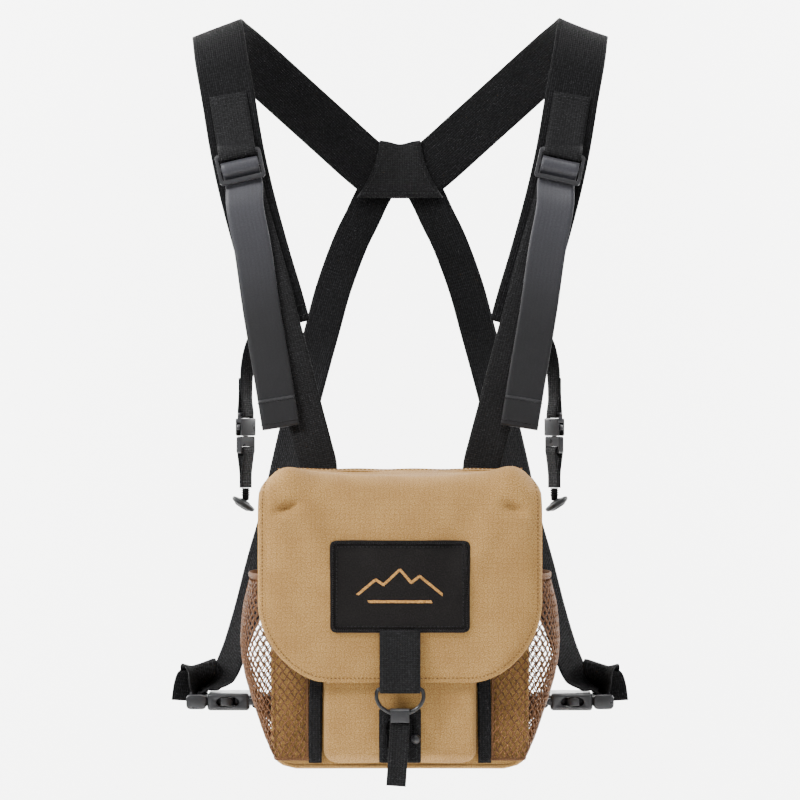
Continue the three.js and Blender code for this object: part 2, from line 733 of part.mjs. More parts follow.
function buildShoulderStraps() {
  const pitch = sliderBar + sliderSlot; // from bar to bar
  const frameHalf = pitch + sliderBar / 2;
  const behind = -(sliderThickness / 2 + 0.45 + webbingThickness / 2);
  const deepest = behind - webStack;
  const proud = sliderThickness / 2 + 0.55 + webbingThickness / 2;
  const slot = pitch / 2;

  sides((side, name) => {
    piece(`shoulder_band_${name}`, strap(bandLine, bandWidth, bandThickness, side, 3), elastic);

    // Adjuster: a frame with three bars.
    const halfWidth = webbingWidth / 2 + 1 + sliderBar * 0.7;
    const windowX = [-webbingWidth / 2 - 0.9, webbingWidth / 2 + 0.9];
    const through = [-sliderThickness, sliderThickness];
    const frame = flatPlate(
      roundedBox([-halfWidth, halfWidth], [-frameHalf, frameHalf], 2.5, 2.5),
      [-sliderThickness / 2, sliderThickness / 2],
      3,
    );
    const adjuster = cut(
      frame,
      block(windowX, [sliderBar / 2, sliderBar / 2 + sliderSlot], through),
      block(windowX, [-sliderBar / 2 - sliderSlot, -sliderBar / 2], through),
    );
    const flip = (vector) => new THREE.Vector3(side * vector.x, vector.y, vector.z);
    const acrossSide = flip(acrossBand).multiplyScalar(side);
    const upSide = flip(downBand).negate();
    const basis = new THREE.Matrix4().makeBasis(acrossSide, upSide, acrossSide.clone().cross(upSide));
    basis.setPosition(flip(sliderCentre));
    piece(`strap_adjuster_${name}`, adjuster, acetal).applyMatrix4(basis);

    // Short webbing sewn to the band, folded round the adjuster's top bar.
    const tabStations = [
      onBand(5, webOnBand),
      onBand(4.66, webOnBand),
      onBand(4.33, webOnBand + 0.3),
      onBand(4.12, webOnBand + 1.4),
      atSlider(-pitch - 5, proud - 2),
      atSlider(-pitch - 2.2, proud - 0.4),
      atSlider(-pitch, proud),
      atSlider(-pitch + 2.2, proud - 0.6),
      atSlider(-pitch + 2.9, 0),
      atSlider(-pitch + 2.2, -proud + 0.6),
      atSlider(-pitch, -proud),
      atSlider(-pitch - 4, -proud - 0.2),
    ];
    const tab = strap(tabStations, webbingWidth, webbingThickness - 0.2, side, 3);
    piece(`adjuster_tab_${name}`, tab, tape);

    // Chest webbing: up from the case, through the adjuster, and back down as a loose tail.
    const slant = [0.97, 0, -0.243];
    const hang = [0.985, 0, -0.17];
    const seamY = caseBackY - panelThickness / 2;
    const chestStations = [
      [[54, seamY, caseTopZ + 1.7], [1, 0, 0]],
      [[54.5, seamY + 0.7, caseTopZ + 7], [0.99, 0, -0.1]],
      [[57.6, seamY + 2, caseTopZ + 19], slant],
      [[65.8, -82.6, -254.3], slant],
      [[78.5, -79.6, -206], slant],
      [[90.8, -74.4, -160.2], slant],
      atSlider(26, deepest),
      atSlider(12, deepest),
      atSlider(2, deepest),
      atSlider(-1.5, deepest + 0.7),
      atSlider(-slot + 0.5, -1.9),
      atSlider(-slot + 0.25, 0),
      atSlider(-slot + 1.4, proud - 0.5),
      atSlider(0, proud),
      atSlider(slot - 1.1, proud - 0.5),
      atSlider(slot, 0.2),
      atSlider(slot + 1.9, behind + 0.4),
      atSlider(slot + 4, behind),
      atSlider(slot + 8, behind + 0.1),
      [[103.6, -73.6, -124.7], hang],
      [[98, -77.4, -155], hang],
      [[92.4, -81.6, -193], hang],
      [[84.8, -85.2, -237.7], hang],
      [[79, -87.6, -273], hang],
    ];
    piece(`chest_webbing_${name}`, strap(chestStations, webbingWidth, webbingThickness, side, 3), tape);
  });
}

// ---------------------------------------------------------------- yoke and back straps
function buildBack() {
  const shape = new THREE.Shape();
  const lowZ = yokeTopZ - yokeHeight;
  shape.moveTo(-yokeBottomWidth / 2, lowZ);
  shape.lineTo(yokeBottomWidth / 2, lowZ);
  shape.quadraticCurveTo(yokeBottomWidth / 2 - 4, (lowZ + yokeTopZ) / 2, yokeTopWidth / 2, yokeTopZ);
  shape.lineTo(-yokeTopWidth / 2, yokeTopZ);
  shape.quadraticCurveTo(-yokeBottomWidth / 2 + 4, (lowZ + yokeTopZ) / 2, -yokeBottomWidth / 2, lowZ);
  const frontY = yokeY - yokeStackHalf;
  const backY = yokeY + yokeStackHalf + webbingThickness + layerGap;
  piece("yoke_front", uprightPlate(shape, [frontY - yokeThickness, frontY], 3), elastic);
  piece("yoke_back", uprightPlate(shape, [backY, backY + yokeThickness], 3), elastic);

  sides((side, name) => {
    const topY = backY - 0.35 - webbingThickness / 2;
    const stations = [
      [[13.4, topY, lowZ + 12], [0.83, 0, 0.55]],
      [[20, topY, lowZ], [0.84, 0, 0.54]],
      [[26.5, topY - 1.2, lowZ - 14], [0.86, 0, 0.5]],
      [[34.5, topY - 3.6, -142.5], [0.91, 0, 0.4]],
      [[46.5, 70, -175.3], [0.93, 0.1, 0.33]],
      [[54.8, 58, -206.6], [0.93, 0.2, 0.3]],
      [[62.1, 42, -235.5], [0.9, 0.3, 0.25]],
      [[75.7, 5, -292.8], [0.83, 0.48, 0.2]],
      [[83.9, -18, -330], [0.78, 0.55, 0.2]],
      [[93.5, -36, -363.4], [0.73, 0.62, 0.2]],
      [[waistMouthX - 26.2, -50, waistZ + 61], [0.69, 0.68, 0.2]],
      [[waistMouthX - 18, -60, waistZ + 29.3], [0.62, 0.76, 0.15]],
    ];
    piece(`back_strap_${name}`, strap(stations, webbingWidth, webbingThickness, side, 3, 2), elastic);

    // Lower end: threaded through the plug's two slots, its free tail standing in an arch.
    const { first, second } = plugSlots(waistBuckle);
    const inX = waistMouthX + first + waistBuckle.slotLength / 2;
    const outX = waistMouthX + second + waistBuckle.slotLength / 2;
    const under = waistBuckle.maleThickness / 2 + 0.5 + webbingThickness / 2;
    const level = [0, 1, 0];
    // The strap's edges lean by the same amount, whatever its width, and its tail falls clear of the plug.
    const entryLean = 10 / webbingWidth;
    const slotLean = 2.5 / webbingWidth;
    const tailLean = 7.5 / webbingWidth;
    const fallLean = 15 / webbingWidth;
    const endLean = 13.75 / webbingWidth;
    const tailFall = 0.48 * webbingWidth;
    const ends = [
      [[waistMouthX - 17.9, -60.3, waistZ + 28.3], [0.62, 0.76, 0.15]],
      [[waistMouthX - 11.5, -66, waistZ + 12.5], [entryLean, 0.9, 0.1]],
      [[waistMouthX - 2, waistY + 0.5, waistZ + 9], [slotLean, 1, 0]],
      [[inX - 1.6, waistY, waistZ + 7.2], level],
      [[inX, waistY, waistZ + 3.5], level],
      [[inX, waistY, waistZ - 2], level],
      [[(inX + outX) / 2, waistY, waistZ - under - 0.4], level],
      [[outX, waistY, waistZ - 2], level],
      [[outX, waistY, waistZ + 3.5], level],
      [[outX + 0.3, waistY, waistZ + 11], [tailLean, 0.95, 0]],
      [[outX + 1.6, waistY + 1, waistZ + 18], [0.6, 0.78, 0.15]],
      [[outX + 4.5, waistY + 2, waistZ + 21.5], [0.8, 0.56, 0.22]],
      [[outX + 9, waistY + 1.5, waistZ + 17.5], [0.7, 0.7, 0.1]],
      [[outX + tailFall, waistY + 1, waistZ + 7], [fallLean, 0.8, 0.03]],
      [[outX + tailFall + 0.6, waistY + 1, waistZ - 4], [endLean, 0.83, 0]],
    ];
    piece(`waist_strap_end_${name}`, strap(ends, webbingWidth, webbingThickness, side, 3, 3), elastic);
  });
}

// ---------------------------------------------------------------- binocular tethers
function buildTethers() {
  const across = new THREE.Vector3(Math.cos(tetherTurn), Math.sin(tetherTurn), 0);
  const face = new THREE.Vector3(Math.sin(tetherTurn), -Math.cos(tetherTurn), 0);

  sides((side, name) => {
    const names = {
      socket: `tether_buckle_socket_${name}`,
      plug: `tether_buckle_plug_${name}`,
      armA: `tether_buckle_arm_a_${name}`,
      armB: `tether_buckle_arm_b_${name}`,
    };
    const place = new THREE.Vector3(side * tetherX, tetherY, tetherMouthZ);
    const down = new THREE.Vector3(0, 0, -1);
    const turned = new THREE.Vector3(-side * across.x, across.y, 0);
    buildBuckle(tetherBuckle, place, down, turned, names, 1);

    // Places round the buckle's own middle line: off along its face, up from the mouth. X is outwards.
    const wide = [-across.x, across.y, 0];
    const near = (off, up) => [
      [tetherX - face.x * off, tetherY + face.y * off, tetherMouthZ + up],
      wide,
    ];
    const slotUp = tetherBuckle.femaleLength - tetherBuckle.barLength - tetherBuckle.slotLength / 2;
    const barUp = slotUp + (tetherBuckle.slotLength + tetherBuckle.barLength) / 2;
    const over = tetherBuckle.barHalfThickness + 0.4 + tetherWebThickness / 2;
    const onBand = [-0.956, 0, 0.292];
    const loop = [
      [[88.5, -72.2, -199.5], onBand],
      [[93.6, -72.2, -209], onBand],
      [[98.6, -72.2, -219], [-0.95, 0.2, 0.2]],
      [[102.2, -72.4, -236], [-0.85, 0.5, 0.05]],
      near(1.1, barUp + 9),
      near(over + 0.1, barUp + 0.8),
      near(over, barUp - 0.6),
      near(0.6 * over, slotUp - 0.15),
      near(-0.6 * over, slotUp - 0.15),
      near(-over, barUp - 0.6),
      near(-over - 0.1, barUp + 1.5),
      near(-1.6, barUp + 12),
      near(-1.5, barUp + 24),
    ];
    const loopStrap = strap(loop, tetherWebWidth, tetherWebThickness, side, 3);
    piece(`tether_loop_${name}`, loopStrap, tape);

    const { second } = plugSlots(tetherBuckle);
    const lowSlot = -(second + tetherBuckle.slotLength / 2);
    const lowBar = -(tetherBuckle.maleLength + second + tetherBuckle.slotLength) / 2;
    const around = tetherBuckle.maleThickness / 2 + 0.4 + tetherWebThickness / 2;
    const foot = -tetherBuckle.maleLength - tetherWebLength;
    const fold = [
      near(0.8, foot),
      near(1, foot + 10),
      near(around - 0.4, -tetherBuckle.maleLength - 2.5),
      near(around, lowBar),
      near(0.6 * around, lowSlot + 0.1),
      near(-0.6 * around, lowSlot + 0.1),
      near(-around, lowBar),
      near(-around + 0.4, -tetherBuckle.maleLength - 2.5),
      near(-1, foot + 10),
      near(-0.8, foot),
    ];
    piece(`tether_web_${name}`, strap(fold, tetherWebWidth, tetherWebThickness, side, 3), tape);

    const neckTop = tetherMouthZ + foot - gap;
    const neckProfile = [
      [0, 0],
      [neckRadius, 0],
      [neckRadius, -1.2],
      [neckRadius - 0.4, -2],
      [neckRadius, -2.8],
      [neckRadius - 0.4, -3.6],
      [neckRadius - 0.2, -neckLength],
      [cordRadius, -neckLength],
      [cordRadius, -neckLength - cordLength],
      [0, -neckLength - cordLength],
    ].reverse().map(([radius, z]) => new THREE.Vector2(radius, z));
    const neck = new THREE.LatheGeometry(neckProfile, 12).rotateX(Math.PI / 2);
    neck.translate(side * tetherX, tetherY, neckTop);
    piece(`tether_cord_${name}`, neck, tape);

    const crown = toggleThickness / 2;
    const toggleProfile = [
      [0, -crown],
      [toggleRadius * 0.55, -crown * 0.88],
      [toggleRadius * 0.88, -crown * 0.48],
      [toggleRadius, 0],
      [toggleRadius * 0.88, crown * 0.48],
      [toggleRadius * 0.55, crown * 0.88],
      [0, crown],
    ].map(([radius, z]) => new THREE.Vector2(radius, z));
    const toggle = new THREE.LatheGeometry(toggleProfile, 16).rotateX(Math.PI / 2);
    toggle.translate(0, 0, -crown);
    toggle.rotateY(-side * toggleTilt);
    toggle.translate(side * tetherX, tetherY, neckTop - neckLength - cordLength - toggleGap);
    piece(`tether_toggle_${name}`, toggle, acetal);
  });
}

buildCase();
buildFrontPocket();
buildNetPockets();
buildFlap();
buildLatch();
buildWaistBuckles();
buildShoulderStraps();
buildBack();
buildTethers();

export default pack;
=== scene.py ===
"""Binocular harness pack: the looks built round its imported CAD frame.

A padded chest case with a drop-front flap and two net side pockets hangs from a crossed shoulder
harness. Sizes in the classes are millimetres and are turned to metres where a mesh is made. +X is to the
viewer's right, +Y points towards the wearer's back and +Z is up; the origin is between the shoulders.
"""

from __future__ import annotations

import logging
import math
from collections.abc import Callable, Sequence
from dataclasses import dataclass, field
from enum import Enum
from typing import Any

import bmesh
import bpy
import numpy as np
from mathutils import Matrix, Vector

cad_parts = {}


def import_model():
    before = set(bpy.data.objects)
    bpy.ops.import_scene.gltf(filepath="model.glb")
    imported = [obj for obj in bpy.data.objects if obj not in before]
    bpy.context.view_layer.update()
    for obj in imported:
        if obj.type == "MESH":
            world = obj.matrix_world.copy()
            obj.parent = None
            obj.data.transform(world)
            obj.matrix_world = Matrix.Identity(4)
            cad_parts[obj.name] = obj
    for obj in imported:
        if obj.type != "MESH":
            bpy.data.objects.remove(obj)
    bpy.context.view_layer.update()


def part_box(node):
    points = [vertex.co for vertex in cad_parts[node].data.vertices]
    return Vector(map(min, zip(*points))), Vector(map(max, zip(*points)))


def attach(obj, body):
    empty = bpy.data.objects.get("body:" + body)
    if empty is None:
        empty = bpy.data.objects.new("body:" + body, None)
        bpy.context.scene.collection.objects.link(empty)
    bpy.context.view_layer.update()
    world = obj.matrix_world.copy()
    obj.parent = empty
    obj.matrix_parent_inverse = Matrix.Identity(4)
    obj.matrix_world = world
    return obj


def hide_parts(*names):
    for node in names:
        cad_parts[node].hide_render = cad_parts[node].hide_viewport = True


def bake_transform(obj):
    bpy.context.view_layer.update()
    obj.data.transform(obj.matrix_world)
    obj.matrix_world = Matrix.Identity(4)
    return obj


Array = np.ndarray
Point = tuple[float, float, float]

LOG = logging.getLogger("harness_pack")
MM = 0.001
SIDES = (("left", -1), ("right", 1))


# ---------------------------------------------------------------- colour and node helpers
def linear(colour: str) -> tuple[float, float, float, float]:
    """Turn an sRGB hex colour to linear light.

    Args:
        colour: Six hex digits, with or without a leading hash.

    Returns:
        Red, green and blue in linear light, and an alpha of 1.
    """
    digits = colour.lstrip("#")
    shares = [int(digits[i : i + 2], 16) / 255 for i in (0, 2, 4)]
    red, green, blue = (s / 12.92 if s <= 0.04045 else ((s + 0.055) / 1.055) ** 2.4 for s in shares)
    return red, green, blue, 1.0


def add_node(
    tree: bpy.types.NodeTree,
    kind: str,
    settings: dict[str, Any] | None = None,
    inputs: dict[str | int, Any] | None = None,
) -> bpy.types.Node:
    """Add one node with its settings, and fill or link its inputs.

    Args:
        tree: The node tree that gets the node.
        kind: The node's type name.
        settings: Properties set on the node itself.
        inputs: Socket name or number to a value, or to the output socket that feeds it.

    Returns:
        The new node.
    """
    made = tree.nodes.new(kind)
    for name, value in (settings or {}).items():
        setattr(made, name, value)
    for socket, value in (inputs or {}).items():
        if isinstance(value, bpy.types.NodeSocket):
            tree.links.new(value, made.inputs[socket])
        else:
            made.inputs[socket].default_value = value
    return made


def new_material(name: str) -> tuple[bpy.types.Material, bpy.types.NodeTree, bpy.types.Node]:
    """Make an empty node material.

    Args:
        name: The material's name.

    Returns:
        The material, its tree and its Principled shader, already linked to the output.
    """
    material = bpy.data.materials.new(name)
    material.use_nodes = True
    tree = material.node_tree
    tree.nodes.clear()
    shader = add_node(tree, "ShaderNodeBsdfPrincipled")
    add_node(tree, "ShaderNodeOutputMaterial", inputs={"Surface": shader.outputs["BSDF"]})
    return material, tree, shader


def wave_scale(period_mm: float) -> float:
    """Scale that gives a Wave texture read in millimetres one band per period."""
    return math.pi / (10 * period_mm)


# ---------------------------------------------------------------- finishes
class Weave(Enum):
    """How a cloth or webbing is made."""

    OXFORD = "oxford"
    ELASTIC = "elastic"
    WEBBING = "webbing"
    SATIN = "satin"
    FELT = "felt"
    SPACER = "spacer"


@dataclass(frozen=True)
class Cloth:
    """A woven, knitted or felted finish, read from the piece's own UV map in millimetres.

    Attributes:
        name: The finish, named for the real material.
        base: Main thread colour.
        shade: Colour down between the threads, painted shade in the weave's hollows.
        light: Colour of the threads that catch the light, a painted highlight on their crowns.
        weave: How the cloth is made.
        thread: Spacing of the threads in millimetres, drawn as coarse as it needs to show.
        relief: Height of the weave in millimetres.
        roughness: Roughness of the threads.
        sheen: Share of fibre sheen.
        mottle: How strongly the colour drifts over a few centimetres.
        gloss: Specular level of the fibres.
        painted_shade_span: Span along the piece, in millimetres, darkened as painted shade where the cloth
            turns down and away from the light.
    """

    name: str
    base: str
    shade: str
    light: str
    weave: Weave
    thread: float
    relief: float
    roughness: float = 0.85
    sheen: float = 0.15
    mottle: float = 0.25
    gloss: float = 0.18
    painted_shade_span: tuple[float, float] | None = None

    def build(self) -> bpy.types.Material:
        """Build the material.

        Returns:
            The finished node material.
        """
        material, tree, shader = new_material(self.name)
        uv = add_node(tree, "ShaderNodeUVMap", {"uv_map": "Cloth"}).outputs["UV"]
        height = self._height(tree, uv)
        cells = add_node(
            tree,
            "ShaderNodeTexNoise",
            {"noise_dimensions": "2D"},
            {"Vector": uv, "Scale": 1.0 / self.thread, "Detail": 2.0, "Roughness": 0.7},
        )
        speckle = add_node(
            tree,
            "ShaderNodeMapRange",
            inputs={"Value": cells.outputs["Fac"], "From Min": 0.36, "From Max": 0.66},
        )
        drift = add_node(
            tree,
            "ShaderNodeTexNoise",
            {"noise_dimensions": "2D"},
            {"Vector": uv, "Scale": 0.045, "Detail": 3.0, "Roughness": 0.55},
        )
        # Painted shade between the threads and a painted highlight on their crowns, set by the weave's
        # height.
        threads = add_node(
            tree,
            "ShaderNodeMix",
            {"data_type": "RGBA"},
            {"Factor": height, 6: linear(self.shade), 7: linear(self.base)},
        )
        crown_highlight = add_node(
            tree,
            "ShaderNodeMath",
            {"operation": "MULTIPLY"},
            {0: speckle.outputs["Result"], 1: height},
        )
        crown_highlit = add_node(
            tree,
            "ShaderNodeMix",
            {"data_type": "RGBA"},
            {"Factor": crown_highlight.outputs[0], 6: threads.outputs[2], 7: linear(self.light)},
        )
        worn = add_node(
            tree,
            "ShaderNodeMapRange",
            inputs={
                "Value": drift.outputs["Fac"],
                "From Min": 0.3,
                "From Max": 0.7,
                "To Min": 0.0,
                "To Max": self.mottle,
            },
        )
        colour = add_node(
            tree,
            "ShaderNodeMix",
            {"data_type": "RGBA"},
            {"Factor": worn.outputs["Result"], 6: crown_highlit.outputs[2], 7: linear(self.shade)},
        )
        # Painted shade: the colour darkens towards near black along the span.
        if self.painted_shade_span:
            along = add_node(tree, "ShaderNodeSeparateXYZ", inputs={0: uv})
            turned = add_node(
                tree,
                "ShaderNodeMapRange",
                {"interpolation_type": "SMOOTHSTEP"},
                {
                    "Value": along.outputs["Y"], "From Min": self.painted_shade_span[0], "From Max": self.painted_shade_span[1],
                    "To Max": 0.85
                },
            )
            colour = add_node(
                tree,
                "ShaderNodeMix",
                {"data_type": "RGBA"},
                {"Factor": turned.outputs["Result"], 6: colour.outputs[2], 7: linear("#0a0a0b")},
            )
        tree.links.new(colour.outputs[2], shader.inputs["Base Color"])
        rough = add_node(
            tree,
            "ShaderNodeMapRange",
            inputs={
                "Value": speckle.outputs["Result"],
                "To Min": min(1.0, self.roughness + 0.08),
                "To Max": self.roughness - 0.08,
            },
        )
        tree.links.new(rough.outputs["Result"], shader.inputs["Roughness"])
        shader.inputs["Sheen Weight"].default_value = self.sheen
        shader.inputs["Sheen Roughness"].default_value = 0.45
        shader.inputs["Specular IOR Level"].default_value = self.gloss
        bump = add_node(
            tree,
            "ShaderNodeBump",
            inputs={"Height": height, "Distance": self.relief * MM, "Strength": 0.8},
        )
        tree.links.new(bump.outputs["Normal"], shader.inputs["Normal"])
        return material

    def _height(self, tree: bpy.types.NodeTree, uv: bpy.types.NodeSocket) -> bpy.types.NodeSocket:
        """Build the thread height for the weave.

        Args:
            tree: The material's tree.
            uv: The piece's coordinates in millimetres.

        Returns:
            A socket that is 1 on top of a thread and 0 between threads.
        """
        if self.weave is Weave.FELT:
            fibres = add_node(
                tree,
                "ShaderNodeTexNoise",
                {"noise_dimensions": "2D"},
                {
                    "Vector": uv, "Scale": 1.0 / self.thread, "Detail": 4.0, "Roughness": 0.75,
                    "Distortion": 0.8
                },
            )
            return fibres.outputs["Fac"]
        if self.weave in (Weave.OXFORD, Weave.SPACER):
            nubs = add_node(
                tree,
                "ShaderNodeTexVoronoi",
                {"voronoi_dimensions": "2D", "feature": "F1"},
                {
                    "Vector": uv,
                    "Scale": 1.0 / self.thread,
                    "Randomness": 0.28 if self.weave is Weave.OXFORD else 0.05,
                },
            )
            risen = add_node(
                tree,
                "ShaderNodeMapRange",
                inputs={
                    "Value": nubs.outputs["Distance"],
                    "From Min": 0.12,
                    "From Max": 0.62,
                    "To Min": 1.0,
                    "To Max": 0.0,
                },
            )
            if self.weave is Weave.OXFORD:
                return risen.outputs["Result"]
            holes = add_node(
                tree, "ShaderNodeMath", {"operation": "SUBTRACT"}, {0: 1.0, 1: risen.outputs["Result"]}
            )
            return holes.outputs[0]
        # Elastic shows fine columns along its length, webbing and satin fine picks across it.
        along, across = {
            Weave.ELASTIC: (1.5 * self.thread, self.thread),
            Weave.WEBBING: (self.thread, 1.3 * self.thread),
            Weave.SATIN: (0.8 * self.thread, 3.0 * self.thread),
        }[self.weave]
        waves = [
            add_node(
                tree,
                "ShaderNodeTexWave",
                {"wave_type": "BANDS", "bands_direction": direction, "wave_profile": "SIN"},
                {
                    "Vector": uv, "Scale": wave_scale(period), "Distortion": 0.35, "Detail": 1.0,
                    "Detail Scale": 2.0
                },
            )
            for direction, period in (("Y", along), ("X", across))
        ]
        share = {Weave.ELASTIC: 0.68, Weave.WEBBING: 0.45, Weave.SATIN: 0.18}[self.weave]
        mixed = add_node(
            tree,
            "ShaderNodeMix",
            {"data_type": "FLOAT"},
            {"Factor": share, 2: waves[0].outputs["Fac"], 3: waves[1].outputs["Fac"]},
        )
        return mixed.outputs[0]


@dataclass(frozen=True)
class Thread:
    """Spun thread for stitches, strands and merrowing, read from Object coordinates.

    Attributes:
        name: The finish, named for the real material.
        base: Thread colour.
        shade: Colour in the twist of the thread.
        roughness: Roughness of the fibre.
        grain: Spacing of the twist in millimetres.
        sheen: Share of fibre sheen.
    """

    name: str
    base: str
    shade: str
    roughness: float = 0.6
    grain: float = 0.9
    sheen: float = 0.2

    def build(self) -> bpy.types.Material:
        """Build the material.

        Returns:
            The finished node material.
        """
        material, tree, shader = new_material(self.name)
        place = add_node(tree, "ShaderNodeTexCoord").outputs["Object"]
        twist = add_node(
            tree,
            "ShaderNodeTexNoise",
            inputs={"Vector": place, "Scale": 0.5 / (self.grain * MM), "Detail": 2.0},
        )
        factor = add_node(
            tree,
            "ShaderNodeMapRange",
            inputs={"Value": twist.outputs["Fac"], "From Min": 0.35, "From Max": 0.65},
        )
        colour = add_node(
            tree,
            "ShaderNodeMix",
            {"data_type": "RGBA"},
            {"Factor": factor.outputs["Result"], 6: linear(self.shade), 7: linear(self.base)},
        )
        tree.links.new(colour.outputs[2], shader.inputs["Base Color"])
        bump = add_node(
            tree,
            "ShaderNodeBump",
            inputs={"Height": twist.outputs["Fac"], "Distance": 0.12 * MM, "Strength": 0.6},
        )
        tree.links.new(bump.outputs["Normal"], shader.inputs["Normal"])
        shader.inputs["Roughness"].default_value = self.roughness
        shader.inputs["Sheen Weight"].default_value = self.sheen
        shader.inputs["Specular IOR Level"].default_value = 0.15
        return material


@dataclass(frozen=True)
class Moulded:
    """A hard moulded or coated finish, read from Object coordinates.

    Attributes:
        name: The finish, named for the real material.
        base: Surface colour.
        worn: Colour where hands have rubbed it.
        roughness: Roughness of the untouched surface.
        grain: Size of the surface texture in millimetres.
        relief: Height of that texture in millimetres.
        metallic: 1 for a bare metal, 0 for a plastic or coating.
        coat: Share of clear gloss over it.
        gloss: Specular level of the surface.
    """

    name: str
    base: str
    worn: str
    roughness: float
    grain: float
    relief: float
    metallic: float = 0.0
    coat: float = 0.0
    gloss: float = 0.4

    def build(self) -> bpy.types.Material:
        """Build the material.

        Returns:
            The finished node material.
        """
        material, tree, shader = new_material(self.name)
        place = add_node(tree, "ShaderNodeTexCoord").outputs["Object"]
        grain = add_node(
            tree,
            "ShaderNodeTexNoise",
            inputs={"Vector": place, "Scale": 0.6 / (self.grain * MM), "Detail": 3.0, "Roughness": 0.6},
        )
        rub = add_node(
            tree,
            "ShaderNodeTexNoise",
            inputs={"Vector": place, "Scale": 140.0, "Detail": 3.0, "Roughness": 0.6},
        )
        factor = add_node(
            tree,
            "ShaderNodeMapRange",
            inputs={"Value": rub.outputs["Fac"], "From Min": 0.45, "From Max": 0.75, "To Max": 0.6},
        )
        colour = add_node(
            tree,
            "ShaderNodeMix",
            {"data_type": "RGBA"},
            {"Factor": factor.outputs["Result"], 6: linear(self.base), 7: linear(self.worn)},
        )
        tree.links.new(colour.outputs[2], shader.inputs["Base Color"])
        rough = add_node(
            tree,
            "ShaderNodeMapRange",
            inputs={
                "Value": rub.outputs["Fac"],
                "From Min": 0.35,
                "From Max": 0.7,
                "To Min": self.roughness + 0.08,
                "To Max": self.roughness - 0.08,
            },
        )
        tree.links.new(rough.outputs["Result"], shader.inputs["Roughness"])
        bump = add_node(
            tree,
            "ShaderNodeBump",
            inputs={"Height": grain.outputs["Fac"], "Distance": self.relief * MM, "Strength": 0.5},
        )
        tree.links.new(bump.outputs["Normal"], shader.inputs["Normal"])
        shader.inputs["Metallic"].default_value = self.metallic
        shader.inputs["Specular IOR Level"].default_value = self.gloss
        shader.inputs["Coat Weight"].default_value = self.coat
        shader.inputs["Coat Roughness"].default_value = 0.25
        return material


